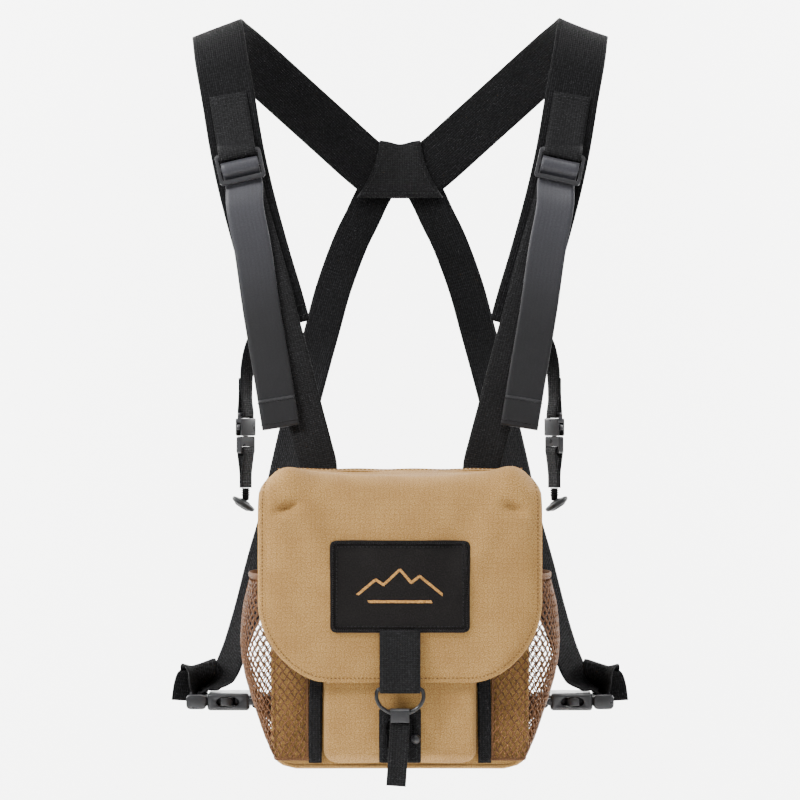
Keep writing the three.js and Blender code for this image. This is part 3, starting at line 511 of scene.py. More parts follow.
@dataclass(frozen=True)
class FinishBook:
    """Every finish on the pack, built once.

    Attributes:
        oxford: Coated polyester oxford cloth: dry and pebbled, with a painted highlight on the thread crowns.
        lining: Thin dark polyester lining with a faint sheen.
        spacer: Knitted spacer mesh on the wearer's side, with small dark cells.
        elastic: Knitted elastic band: fine columns along it, matt and nearly black.
        webbing: Polyester webbing: picks across it and a low sheen.
        satin: Smooth-faced webbing coloured grey as painted light, with painted shade towards the tail ends.
        felt: Dense black twill of a sewn patch, soft and light-drinking.
        net: Knitted nylon strands, warm brown with a slight shine.
        net_binding: Gathered brown elastic that binds the net's rim and seams.
        tan_thread: Bonded sewing thread a shade darker than the cloth.
        black_thread: Black sewing thread.
        motif_thread: Rayon embroidery thread with a silky shine.
        acetal: Acetal resin moulded in a fine spark texture, grey where it is lit.
        rubber: Firm black rubber of the toggles, dull and soft-edged.
        steel: Steel wire under a black coating.
        board: Plain pressed board.
    """

    oxford: bpy.types.Material
    lining: bpy.types.Material
    spacer: bpy.types.Material
    elastic: bpy.types.Material
    webbing: bpy.types.Material
    satin: bpy.types.Material
    felt: bpy.types.Material
    net: bpy.types.Material
    net_binding: bpy.types.Material
    tan_thread: bpy.types.Material
    black_thread: bpy.types.Material
    motif_thread: bpy.types.Material
    acetal: bpy.types.Material
    rubber: bpy.types.Material
    steel: bpy.types.Material
    board: bpy.types.Material

    @classmethod
    def build(cls) -> FinishBook:
        """Build every finish.

        Returns:
            The book of materials.
        """
        return cls(
            # Thread spacing is drawn at 0.8 mm, about twice the real one, so that it shows.
            oxford=Cloth(
                "polyester_oxford_tan", "#9c7841", "#6d4c25", "#c19c63", Weave.OXFORD, 0.8, 0.3, 0.88,
                0.04, 0.3
            ).build(),
            lining=Cloth(
                "polyester_lining_black", "#121214", "#09090a", "#1d1d20", Weave.WEBBING, 0.8, 0.06, 0.6, 0.04
            ).build(),
            spacer=Cloth(
                "spacer_mesh_black", "#161618", "#030303", "#26262a", Weave.SPACER, 2.4, 0.5, 0.8, 0.06
            ).build(),
            elastic=Cloth(
                "knitted_elastic_black", "#0a0a0b", "#020202", "#1b1b1d", Weave.ELASTIC, 1.45, 0.4, 0.85,
                0.0, 0.3, 0.1
            ).build(),
            webbing=Cloth(
                "polyester_webbing_black", "#0c0c0d", "#030303", "#212123", Weave.WEBBING, 1.3, 0.34,
                0.7, 0.0, 0.3, 0.12
            ).build(),
            # The satin's grey colours are painted light: a lit copy of the black webbing for the tails.
            satin=Cloth(
                "satin_webbing_painted_lit_grey", "#2c2c31", "#222226", "#37373c", Weave.SATIN, 0.9, 0.06, 0.45,
                0.05, 0.25, 0.25,
                # Painted shade over the tail's far end.
                (235.0, 345.0),
            ).build(),
            felt=Cloth(
                "patch_twill_black", "#0b0909", "#040303", "#1a1716", Weave.FELT, 0.8, 0.15, 0.95, 0.02, 0.2
            ).build(),
            net=Thread("knitted_nylon_brown", "#6d4a2e", "#402714", 0.55, 0.8, 0.0).build(),
            net_binding=Cloth(
                "binding_elastic_brown", "#5a3b22", "#33200f", "#775233", Weave.WEBBING, 1.0, 0.3, 0.8,
                0.0, 0.3
            ).build(),
            tan_thread=Thread("bonded_thread_tan", "#6a4a20", "#4a3012", 0.55, 0.9, 0.05).build(),
            black_thread=Thread("bonded_thread_black", "#131315", "#070708", 0.45, 0.9, 0.02).build(),
            motif_thread=Thread("rayon_thread_gold", "#b58748", "#7a5526", 0.35, 0.5, 0.1).build(),
            acetal=Moulded("acetal_black", "#1c1c1e", "#2e2e31", 0.33, 0.45, 0.03).build(),
            rubber=Moulded("toggle_rubber_black", "#0d0d0e", "#1b1b1d", 0.5, 0.5, 0.04, gloss=0.2).build(),
            steel=Moulded("coated_steel_black", "#09090a", "#1c1c1e", 0.3, 0.7, 0.02, 0.0, 0.25, 0.3).build(),
            board=Moulded("pressed_board_black", "#1d1d1e", "#2b2b2c", 0.75, 0.8, 0.08).build(),
        )


# ---------------------------------------------------------------- shape tools
class Path:
    """Smooth centripetal Catmull-Rom line through given places."""

    def __init__(self, places: Sequence[Point] | Array) -> None:
        """Keep the places and work out each span's cubic.

        Args:
            places: Places on the line, in millimetres.
        """
        points = np.asarray(places, float)
        before = 2 * points[0] - points[1]
        after = 2 * points[-1] - points[-2]
        padded = np.vstack([before, points, after])
        self.spans = len(points) - 1
        cubics = []
        for i in range(self.spans):
            x0, x1, x2, x3 = padded[i : i + 4]
            d0, d1, d2 = (max(np.sum((b - a) ** 2) ** 0.25, 1e-4) for a, b in ((x0, x1), (x1, x2), (x2, x3)))
            t1 = ((x1 - x0) / d0 - (x2 - x0) / (d0 + d1) + (x2 - x1) / d1) * d1
            t2 = ((x2 - x1) / d1 - (x3 - x1) / (d1 + d2) + (x3 - x2) / d2) * d1
            cubics.append((x1, t1, -3 * x1 + 3 * x2 - 2 * t1 - t2, 2 * x1 - 2 * x2 + t1 + t2))
        self.cubics = np.array(cubics)

    def at(self, shares: Array) -> tuple[Array, Array]:
        """Places and directions along the line.

        Args:
            shares: Shares of the whole line, counted in spans, from 0 to 1.

        Returns:
            The places and the unit directions there.
        """
        position = np.clip(np.asarray(shares, float), 0, 1) * self.spans
        index = np.minimum(position.astype(int), self.spans - 1)
        w = (position - index)[:, None]
        c0, c1, c2, c3 = (self.cubics[index, k] for k in range(4))
        places = c0 + c1 * w + c2 * w**2 + c3 * w**3
        ways = c1 + 2 * c2 * w + 3 * c3 * w**2
        return places, ways / np.maximum(np.linalg.norm(ways, axis=1, keepdims=True), 1e-9)


def lengths_along(points: Array) -> Array:
    """Distance along a run of points from its first one.

    Args:
        points: The run's points.

    Returns:
        One distance for each point.
    """
    steps = np.linalg.norm(np.diff(points, axis=0), axis=1)
    return np.concatenate([[0.0], np.cumsum(steps)])


def even_run(points: Array, spacing: float) -> Array:
    """Space a run of points evenly.

    Args:
        points: The run's points.
        spacing: Distance between the new points.

    Returns:
        The new points, with the two ends kept.
    """
    along = lengths_along(points)
    count = max(2, int(round(along[-1] / spacing)) + 1)
    wanted = np.linspace(0, along[-1], count)
    return np.stack([np.interp(wanted, along, points[:, k]) for k in range(points.shape[1])], axis=1)


def bump_at(values: Array, centre: float, width: float) -> Array:
    """A smooth hump of height 1 and the given half-width."""
    return np.exp(-(((values - centre) / width) ** 2))


def rounded_half_width(z: Array, half: float, low: float, high: float, low_r: float, high_r: float) -> Array:
    """Half-width of an upright rectangle with round corners, level by level.

    Args:
        z: Heights.
        half: Half of the rectangle's width.
        low: Its lower edge.
        high: Its upper edge.
        low_r: Radius of the lower corners.
        high_r: Radius of the upper corners.

    Returns:
        The half-width at each height.
    """
    below = np.clip(low_r - (z - low), 0, low_r)
    above = np.clip(high_r - (high - z), 0, high_r)
    lower_cut = low_r - np.sqrt(np.maximum(low_r**2 - below**2, 0))
    upper_cut = high_r - np.sqrt(np.maximum(high_r**2 - above**2, 0))
    return half - lower_cut - upper_cut


def eased_levels(low: float, high: float, count: int) -> Array:
    """Levels from low to high, closer together near both ends."""
    share = np.linspace(0, 1, count)
    return low + (high - low) * (0.55 * share + 0.45 * (1 - np.cos(np.pi * share)) / 2)


@dataclass
class Build:
    """Points, faces and cloth coordinates of a mesh in the making, in millimetres.

    Attributes:
        points: The points.
        faces: Point numbers of each face.
        cloth: Coordinates on the cloth, in millimetres, one pair per point.
        tints: Which of the piece's materials each face has.
    """

    points: Array
    faces: list[tuple[int, ...]]
    cloth: Array
    tints: list[int] = field(default_factory=list)

    def to_object(
        self,
        name: str,
        materials: Sequence[bpy.types.Material],
        sharp_degrees: float | None = None,
    ) -> bpy.types.Object:
        """Make the Blender object, in metres.

        Args:
            name: The object's name.
            materials: Its materials.
            sharp_degrees: Angle above which an edge stays sharp, or None for all smooth.

        Returns:
            The new object, at the origin.
        """
        mesh = bpy.data.meshes.new(name)
        mesh.from_pydata((self.points * MM).tolist(), [], self.faces)
        layer = mesh.uv_layers.new(name="Cloth")
        loops = np.empty(len(mesh.loops), int)
        mesh.loops.foreach_get("vertex_index", loops)
        layer.data.foreach_set("uv", self.cloth[loops].astype(np.float32).ravel())
        for material in materials:
            mesh.materials.append(material)
        if self.tints:
            mesh.polygons.foreach_set("material_index", self.tints)
        mesh.shade_smooth()
        if sharp_degrees is not None:
            mesh.set_sharp_from_angle(angle=math.radians(sharp_degrees))
        mesh.update()
        made = bpy.data.objects.new(name, mesh)
        bpy.context.scene.collection.objects.link(made)
        return made


def joined(*parts: Build) -> Build:
    """Put several builds into one.

    Args:
        parts: The builds.

    Returns:
        One build that holds them all.
    """
    points, faces, cloth, tints, start = [], [], [], [], 0
    for part in parts:
        points.append(part.points)
        cloth.append(part.cloth)
        faces += [tuple(start + i for i in face) for face in part.faces]
        tints += part.tints or [0] * len(part.faces)
        start += len(part.points)
    return Build(np.vstack(points), faces, np.vstack(cloth), tints)


def loft(rings: Array, cloth: Array, capped: bool = True, looped: bool = False) -> Build:
    """Skin a row of closed rings.

    Args:
        rings: Ring, place on the ring, coordinate.
        cloth: Cloth coordinates of the same points.
        capped: Whether the two ends are closed.
        looped: Whether the last ring joins the first.

    Returns:
        The skin, facing outwards when each ring turns right-handed along the row.
    """
    count, around, _ = rings.shape
    faces: list[tuple[int, ...]] = []
    for i in range(count if looped else count - 1):
        here, there = i * around, ((i + 1) % count) * around
        for k in range(around):
            nxt = (k + 1) % around
            faces.append((here + k, here + nxt, there + nxt, there + k))
    if capped and not looped:
        faces.append(tuple(range(around - 1, -1, -1)))
        last = (count - 1) * around
        faces.append(tuple(last + k for k in range(around)))
    return Build(rings.reshape(-1, 3), faces, cloth.reshape(-1, 2))


def grid_normals(grid: Array) -> Array:
    """Unit normals of a grid of points, from its rows crossed with its columns."""
    along = np.gradient(grid, axis=0)
    across = np.gradient(grid, axis=1)
    normals = np.cross(across, along)
    return normals / np.maximum(np.linalg.norm(normals, axis=2, keepdims=True), 1e-9)


def sheet(grid: Array, cloth: Array, thickness: float | Array, rim: float = 0.5, flip: bool = False) -> Build:
    """Give a grid of points a thickness and a soft closed rim.

    Args:
        grid: Row, column, coordinate of the outer face.
        cloth: Cloth coordinates of the same points.
        thickness: Thickness behind the outer face, one value or one per point.
        rim: How far the rim stands out, as a share of the thickness.
        flip: Whether the outer face is on the other side of the grid.

    Returns:
        The closed shell. The inner face has the second material.
    """
    rows, columns, _ = grid.shape
    normals = grid_normals(grid) * (-1 if flip else 1)
    depth = np.broadcast_to(np.asarray(thickness, float), (rows, columns))[..., None]
    inner = grid - normals * depth
    border = [(0, c) for c in range(columns)] + [(r, columns - 1) for r in range(1, rows)]
    border += [(rows - 1, c) for c in range(columns - 2, -1, -1)] + [(r, 0) for r in range(rows - 2, 0, -1)]
    edge = np.array([grid[b] for b in border])
    middle = np.array([(grid[b] + inner[b]) / 2 for b in border])
    run = np.roll(edge, -1, axis=0) - np.roll(edge, 1, axis=0)
    away = np.cross(run, np.array([normals[b] for b in border]))
    away /= np.maximum(np.linalg.norm(away, axis=1, keepdims=True), 1e-9)
    towards = np.sum(away * (edge - grid.reshape(-1, 3).mean(0)), axis=1)
    if towards.sum() < 0:
        away = -away
    middle += away * rim * np.array([depth[b] for b in border])
    total = rows * columns
    points = np.vstack([grid.reshape(-1, 3), inner.reshape(-1, 3), middle])
    cloth_border = np.array([cloth[b] for b in border])
    coordinates = np.vstack([cloth.reshape(-1, 2), cloth.reshape(-1, 2), cloth_border])
    faces: list[tuple[int, ...]] = []
    tints: list[int] = []

    def put(face: tuple[int, ...], tint: int) -> None:
        """Add one face, turned the right way."""
        faces.append(face[::-1] if flip else face)
        tints.append(tint)

    for r in range(rows - 1):
        for c in range(columns - 1):
            a, b = r * columns + c, (r + 1) * columns + c
            put((a, a + 1, b + 1, b), 0)
            put((total + a, total + b, total + b + 1, total + a + 1), 1)
    loop = len(border)
    for k in range(loop):
        nxt = (k + 1) % loop
        outer_a, outer_b = (border[i][0] * columns + border[i][1] for i in (k, nxt))
        put((outer_b, outer_a, 2 * total + k, 2 * total + nxt), 0)
        put((2 * total + nxt, 2 * total + k, total + outer_a, total + outer_b), 0)
    return Build(points, faces, coordinates, tints)


def level_grid(
    levels: Array,
    half_widths: Array,
    columns: int,
    depth_at: Callable[[Array, Array], Array],
) -> tuple[Array, Array]:
    """Grid of points on an upright face, row by row of height.

    Args:
        levels: Height of each row.
        half_widths: Half-width of each row.
        columns: Points in a row.
        depth_at: Gives Y from X and Z.

    Returns:
        The grid and its cloth coordinates.
    """
    share = np.sin(np.linspace(-1, 1, columns) * math.pi / 2) * 0.35 + np.linspace(-1, 1, columns) * 0.65
    x = half_widths[:, None] * share[None, :]
    z = np.broadcast_to(levels[:, None], x.shape)
    grid = np.stack([x, depth_at(x, z), z], axis=2)
    return grid, np.stack([x, z], axis=2)


def tube(route: Array, radius: float | Array, sides: int = 10, looped: bool = False) -> Build:
    """Skin a round tube along a route.

    Args:
        route: The tube's middle line.
        radius: Its radius, one value or one per point.
        sides: Points round it.
        looped: Whether its ends meet.

    Returns:
        The tube.
    """
    if looped:
        ways = np.roll(route, -1, axis=0) - np.roll(route, 1, axis=0)
    else:
        ways = np.gradient(route, axis=0)
    ways /= np.maximum(np.linalg.norm(ways, axis=1, keepdims=True), 1e-9)
    start = np.cross(ways[0], [0.0, 0.0, 1.0])
    if np.linalg.norm(start) < 0.2:
        start = np.cross(ways[0], [1.0, 0.0, 0.0])
    firsts = []
    for way in ways:
        start = start - way * np.dot(start, way)
        start /= np.linalg.norm(start)
        firsts.append(start.copy())
    first = np.array(firsts)
    second = np.cross(ways, first)
    radii = np.broadcast_to(np.asarray(radius, float), (len(route),))
    angles = np.linspace(0, 2 * math.pi, sides, endpoint=False)
    ring = first[:, None] * np.cos(angles)[None, :, None] + second[:, None] * np.sin(angles)[None, :, None]
    rings = route[:, None] + ring * radii[:, None, None]
    along = lengths_along(route)
    cloth = np.stack(np.broadcast_arrays((angles * radii.mean())[None, :], along[:, None]), axis=2)
    return loft(rings, cloth, looped=looped)


def strap(
    stations: Sequence[tuple[Point, Point]],
    width: float,
    thickness: float,
    side: int,
    spacing: float = 2.5,
    cup: float = 0.0,
    columns: int = 8,
) -> tuple[Build, Array, Array, Array]:
    """Bend a flat strap with soft edges along a smooth path.

    Args:
        stations: Places on its middle line and directions across it, X counted outwards.
        width: The strap's width.
        thickness: Its thickness.
        side: -1 for the left and 1 for the right.
        spacing: Distance between its rings.
        cup: How far its edges lift off the middle.
        columns: Faces across it.

    Returns:
        The strap, its middle line, and the directions across it and off its face.
    """
    turn = np.array([side, 1.0, 1.0])
    places = np.array([s[0] for s in stations], float) * turn
    crossings = np.array([s[1] for s in stations], float) * turn
    crossings /= np.linalg.norm(crossings, axis=1, keepdims=True)
    path = Path(places)
    shares = np.linspace(0, 1, 40 * path.spans + 1)
    fine, _ = path.at(shares)
    along = lengths_along(fine)
    count = max(8, int(along[-1] / spacing))
    shares = np.interp(np.linspace(0, along[-1], count), along, shares)
    middle, ways = path.at(shares)
    position = shares * path.spans
    index = np.minimum(position.astype(int), path.spans - 1)
    weight = (position - index)[:, None]
    wide = crossings[index] * (1 - weight) + crossings[index + 1] * weight
    wide -= ways * np.sum(wide * ways, axis=1, keepdims=True)
    wide /= np.linalg.norm(wide, axis=1, keepdims=True)
    off = np.cross(ways, wide)
    half, deep = width / 2, thickness / 2
    across = np.linspace(-half + 0.55 * deep, half - 0.55 * deep, columns + 1)
    top = [(a, deep) for a in across]
    bottom = [(a, -deep) for a in across[::-1]]
    section = np.array(
        [
            *top, (half, 0.35 * deep), (half, -0.35 * deep), *bottom, (-half, -0.35 * deep),
            (-half, 0.35 * deep)
        ]
    )
    lift = section[:, 1] + cup * (section[:, 0] / half) ** 2
    rings = middle[:, None] + wide[:, None] * section[None, :, 0, None] + off[:, None] * lift[None, :, None]
    run = lengths_along(middle)
    cloth = np.stack(np.broadcast_arrays(section[None, :, 0], run[:, None]), axis=2)
    # The section turns against the path's right hand on one side and with it on the other.
    made = loft(rings[:, ::-1], cloth[:, ::-1])
    return made, middle, wide, off


# ---------------------------------------------------------------- Geometry Nodes
class ThreadKit:
    """Geometry Nodes trees that lay threads along lines: separate stitches, and whole strands."""

    def __init__(self) -> None:
        """Build the two trees."""
        self.stitch_tree = self._build_stitches()
        self.strand_tree = self._build_strands()

    @staticmethod
    def _new_tree(name: str, sizes: Sequence[tuple[str, str]]) -> tuple[bpy.types.NodeTree, bpy.types.Node]:
        """Start a geometry tree with named inputs.

        Args:
            name: The tree's name.
            sizes: Each input's name and socket type.

        Returns:
            The tree and its input node.
        """
        tree = bpy.data.node_groups.new(name, "GeometryNodeTree")
        tree.is_modifier = True
        tree.interface.new_socket("Lines", in_out="INPUT", socket_type="NodeSocketGeometry")
        for label, kind in sizes:
            tree.interface.new_socket(label, in_out="INPUT", socket_type=kind)
        tree.interface.new_socket("Threads", in_out="OUTPUT", socket_type="NodeSocketGeometry")
        return tree, add_node(tree, "NodeGroupInput")

    def _build_stitches(self) -> bpy.types.NodeTree:
        """Build the tree that sets one rounded stitch at each step along the lines.

        Returns:
            The finished tree.
        """
        sizes = [
            ("Spacing", "NodeSocketFloat"),
            ("Stitch Length", "NodeSocketFloat"),
            ("Stitch Height", "NodeSocketFloat"),
            ("Stitch Width", "NodeSocketFloat"),
            ("Lean Axis", "NodeSocketVector"),
            ("Lean", "NodeSocketFloat"),
            ("Size Drift", "NodeSocketFloat"),
            ("Seed", "NodeSocketInt"),
            ("Finish", "NodeSocketMaterial"),
        ]
        tree, given = self._new_tree("stitches_along_lines", sizes)
        out = given.outputs
        curve = add_node(tree, "GeometryNodeMeshToCurve", inputs={"Mesh": out["Lines"]})
        spaced = add_node(
            tree,
            "GeometryNodeResampleCurve",
            {"mode": "LENGTH"},
            {"Curve": curve.outputs["Curve"], "Length": out["Spacing"]},
        )
        way = add_node(tree, "GeometryNodeInputTangent")
        along = add_node(
            tree,
            "FunctionNodeAlignRotationToVector",
            {"axis": "X"},
            {"Vector": way.outputs["Tangent"]},
        )
        lean = add_node(
            tree,
            "FunctionNodeAxisAngleToRotation",
            inputs={"Axis": out["Lean Axis"], "Angle": out["Lean"]},
        )
        leaning = add_node(
            tree,
            "FunctionNodeRotateRotation",
            {"rotation_space": "GLOBAL"},
            {"Rotation": along.outputs["Rotation"], "Rotate By": lean.outputs["Rotation"]},
        )
        ball = add_node(tree, "GeometryNodeMeshIcoSphere", inputs={"Radius": 0.5, "Subdivisions": 2})
        smooth = add_node(tree, "GeometryNodeSetShadeSmooth", inputs={"Geometry": ball.outputs["Mesh"]})
        low = add_node(tree, "ShaderNodeMath", {"operation": "SUBTRACT"}, {0: 1.0, 1: out["Size Drift"]})
        high = add_node(tree, "ShaderNodeMath", {"operation": "ADD"}, {0: 1.0, 1: out["Size Drift"]})
        drift = add_node(
            tree,
            "FunctionNodeRandomValue",
            {"data_type": "FLOAT"},
            {2: low.outputs[0], 3: high.outputs[0], "Seed": out["Seed"]},
        )
        sizes_node = add_node(
            tree,
            "ShaderNodeCombineXYZ",
            inputs={"X": out["Stitch Length"], "Y": out["Stitch Width"], "Z": out["Stitch Height"]},
        )
        scale = add_node(
            tree,
            "ShaderNodeVectorMath",
            {"operation": "SCALE"},
            {0: sizes_node.outputs["Vector"], "Scale": drift.outputs[1]},
        )
        placed = add_node(
            tree,
            "GeometryNodeInstanceOnPoints",
            inputs={
                "Points": spaced.outputs["Curve"],
                "Instance": smooth.outputs["Geometry"],
                "Rotation": leaning.outputs["Rotation"],
                "Scale": scale.outputs["Vector"],
            },
        )
        real = add_node(
            tree, "GeometryNodeRealizeInstances", inputs={"Geometry": placed.outputs["Instances"]}
        )
        dressed = add_node(
            tree,
            "GeometryNodeSetMaterial",
            inputs={"Geometry": real.outputs["Geometry"], "Material": out["Finish"]},
        )
        add_node(tree, "NodeGroupOutput", inputs={"Threads": dressed.outputs["Geometry"]})
        return tree

    def _build_strands(self) -> bpy.types.NodeTree:
        """Build the tree that turns each line into a round strand.

        Returns:
            The finished tree.
        """
        sizes = [("Radius", "NodeSocketFloat"), ("Sides", "NodeSocketInt"), ("Finish", "NodeSocketMaterial")]
        tree, given = self._new_tree("strands_along_lines", sizes)
        out = given.outputs
        curve = add_node(tree, "GeometryNodeMeshToCurve", inputs={"Mesh": out["Lines"]})
        ring = add_node(
            tree,
            "GeometryNodeCurvePrimitiveCircle",
            inputs={"Resolution": out["Sides"], "Radius": out["Radius"]},
        )
        skin = add_node(
            tree,
            "GeometryNodeCurveToMesh",
            inputs={
                "Curve": curve.outputs["Curve"],
                "Profile Curve": ring.outputs["Curve"],
                "Fill Caps": True,
            },
        )
        smooth = add_node(tree, "GeometryNodeSetShadeSmooth", inputs={"Geometry": skin.outputs["Mesh"]})
        real = add_node(tree, "GeometryNodeRealizeInstances", inputs={"Geometry": smooth.outputs["Geometry"]})
        dressed = add_node(
            tree,
            "GeometryNodeSetMaterial",
            inputs={"Geometry": real.outputs["Geometry"], "Material": out["Finish"]},
        )
        add_node(tree, "NodeGroupOutput", inputs={"Threads": dressed.outputs["Geometry"]})
        return tree

    @staticmethod
    def _run(
        name: str, lines: Sequence[Array], tree: bpy.types.NodeTree, sizes: dict[str, Any]
    ) -> bpy.types.Object:
        """Run a tree on some lines and keep the plain mesh.

        Args:
            name: The new object's name.
            lines: Runs of points in millimetres. A run that ends where it starts is closed.
            tree: The geometry tree.
            sizes: Input name to value.

        Returns:
            The plain mesh object.
        """
        points: list[Any] = []
        edges: list[tuple[int, int]] = []
        for line in lines:
            start = len(points)
            closed = len(line) > 3 and float(np.linalg.norm(line[0] - line[-1])) < 1e-6
            kept = line[:-1] if closed else line
            points += (kept * MM).tolist()
            edges += [(start + i, start + i + 1) for i in range(len(kept) - 1)]
            if closed:
                edges.append((start + len(kept) - 1, start))
        mesh = bpy.data.meshes.new(f"{name}_lines")
        mesh.from_pydata(points, edges, [])
        holder = bpy.data.objects.new(f"{name}_lines", mesh)
        bpy.context.scene.collection.objects.link(holder)
        modifier = holder.modifiers.new("threads", "NODES")
        modifier.node_group = tree
        for item in tree.interface.items_tree:
            if item.item_type == "SOCKET" and item.in_out == "INPUT" and item.name in sizes:
                modifier[item.identifier] = sizes[item.name]
        bpy.context.view_layer.update()
        graph = bpy.context.evaluated_depsgraph_get()
        plain = bpy.data.meshes.new_from_object(holder.evaluated_get(graph), depsgraph=graph)
        bpy.data.objects.remove(holder)
        bpy.data.meshes.remove(mesh)
        plain.name = name
        made = bpy.data.objects.new(name, plain)
        bpy.context.scene.collection.objects.link(made)
        return made

    def stitches(
        self,
        name: str,
        lines: Sequence[Array],
        finish: bpy.types.Material,
        spacing: float = 3.0,
        length: float = 2.3,
        height: float = 0.7,
        width: float = 0.7,
        lean: float = 0.0,
        lean_axis: Point = (0.0, 1.0, 0.0),
        drift: float = 0.08,
        seed: int = 7,
    ) -> bpy.types.Object:
        """Lay separate stitches along lines.

        Args:
            name: The new object's name.
            lines: Runs of points in millimetres.
            finish: The thread's material.
            spacing: Step from stitch to stitch.
            length: Length of a stitch.
            height: Its size up and down in the world, once laid.
            width: Its size across its line.
            lean: Angle, in degrees, that each stitch turns away from its line.
            lean_axis: Axis of that turn.
            drift: How much the stitches differ in size, as a share.
            seed: Seed of that difference.

        Returns:
            The stitches as one plain mesh.
        """
        sizes = {
            "Spacing": spacing * MM,
            "Stitch Length": length * MM,
            "Stitch Height": height * MM,
            "Stitch Width": width * MM,
            "Lean Axis": lean_axis,
            "Lean": math.radians(lean),
            "Size Drift": drift,
            "Seed": seed,
            "Finish": finish,
        }
        return self._run(name, lines, self.stitch_tree, sizes)

    def strands(
        self,
        name: str,
        lines: Sequence[Array],
        finish: bpy.types.Material,
        radius: float,
        sides: int = 5,
    ) -> bpy.types.Object:
        """Turn lines into round strands.

        Args:
            name: The new object's name.
            lines: Runs of points in millimetres.
            finish: The strand's material.
            radius: Its radius.
            sides: Points round it.

        Returns:
            The strands as one plain mesh.
        """
        sizes = {"Radius": radius * MM, "Sides": sides, "Finish": finish}
        return self._run(name, lines, self.strand_tree, sizes)


@dataclass
class Workshop:
    """What every sub-assembly needs to be made.

    Attributes:
        finishes: The materials.
        threads: The thread trees.
    """

    finishes: FinishBook
    threads: ThreadKit

    def place(
        self,
        piece: bpy.types.Object,
        body: str,
        slot: str,
        replaces: Sequence[str] = (),
    ) -> bpy.types.Object:
        """Fix a finished piece to its body and hide the CAD nodes that it stands for.

        Args:
            piece: The finished piece.
            body: The body that it moves with.
            slot: Not used.
            replaces: CAD nodes that it stands for.

        Returns:
            The same piece.
        """
        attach(piece, body)
        if replaces:
            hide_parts(*replaces)
        LOG.info("%s rides on %s", piece.name, body)
        return piece

    def moulded(
        self,
        node: str,
        body: str,
        material: bpy.types.Material,
        slot: str,
        bevel: float = 0.35,
        angle: float = 32.0,
    ) -> bpy.types.Object:
        """Make a hard piece from a CAD node's shape, with its edges eased as a mould leaves them.

        Args:
            node: The CAD node.
            body: The body that it moves with.
            material: Its finish.
            slot: Material slot, passed on to place.
            bevel: Width of the eased edge.
            angle: Edges sharper than this are eased.

        Returns:
            The new piece, which stands for the node.
        """
        source = bpy.data.objects[node]
        mesh = source.data.copy()
        shape = bmesh.new()
        shape.from_mesh(mesh)
        bmesh.ops.remove_doubles(shape, verts=shape.verts, dist=1e-6)
        bmesh.ops.dissolve_limit(
            shape, angle_limit=math.radians(1.0), verts=shape.verts, edges=shape.edges,
            use_dissolve_boundaries=False
        )
        shape.to_mesh(mesh)
        shape.free()
        mesh.materials.clear()
        mesh.materials.append(material)
        piece = bpy.data.objects.new(f"{node}_moulded", mesh)
        bpy.context.scene.collection.objects.link(piece)
        ease = piece.modifiers.new("eased_edges", "BEVEL")
        ease.width = bevel * MM
        ease.segments = 3
        ease.limit_method = "ANGLE"
        ease.angle_limit = math.radians(angle)
        ease.use_clamp_overlap = True
        graph = bpy.context.evaluated_depsgraph_get()
        plain = bpy.data.meshes.new_from_object(piece.evaluated_get(graph), depsgraph=graph)
        piece.modifiers.clear()
        piece.data = plain
        plain.shade_smooth()
        plain.set_sharp_from_angle(angle=math.radians(40))
        return self.place(piece, body, slot, [node])


def box_mm(node: str) -> tuple[Array, Array]:
    """Lowest and highest corners of a CAD node, in millimetres."""
    low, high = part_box(node)
    return np.array(low) / MM, np.array(high) / MM


def smooth_step(values: Array, start: float, end: float) -> Array:
    """Rise smoothly from 0 at start to 1 at end."""
    share = np.clip((values - start) / (end - start), 0, 1)
    return share * share * (3 - 2 * share)


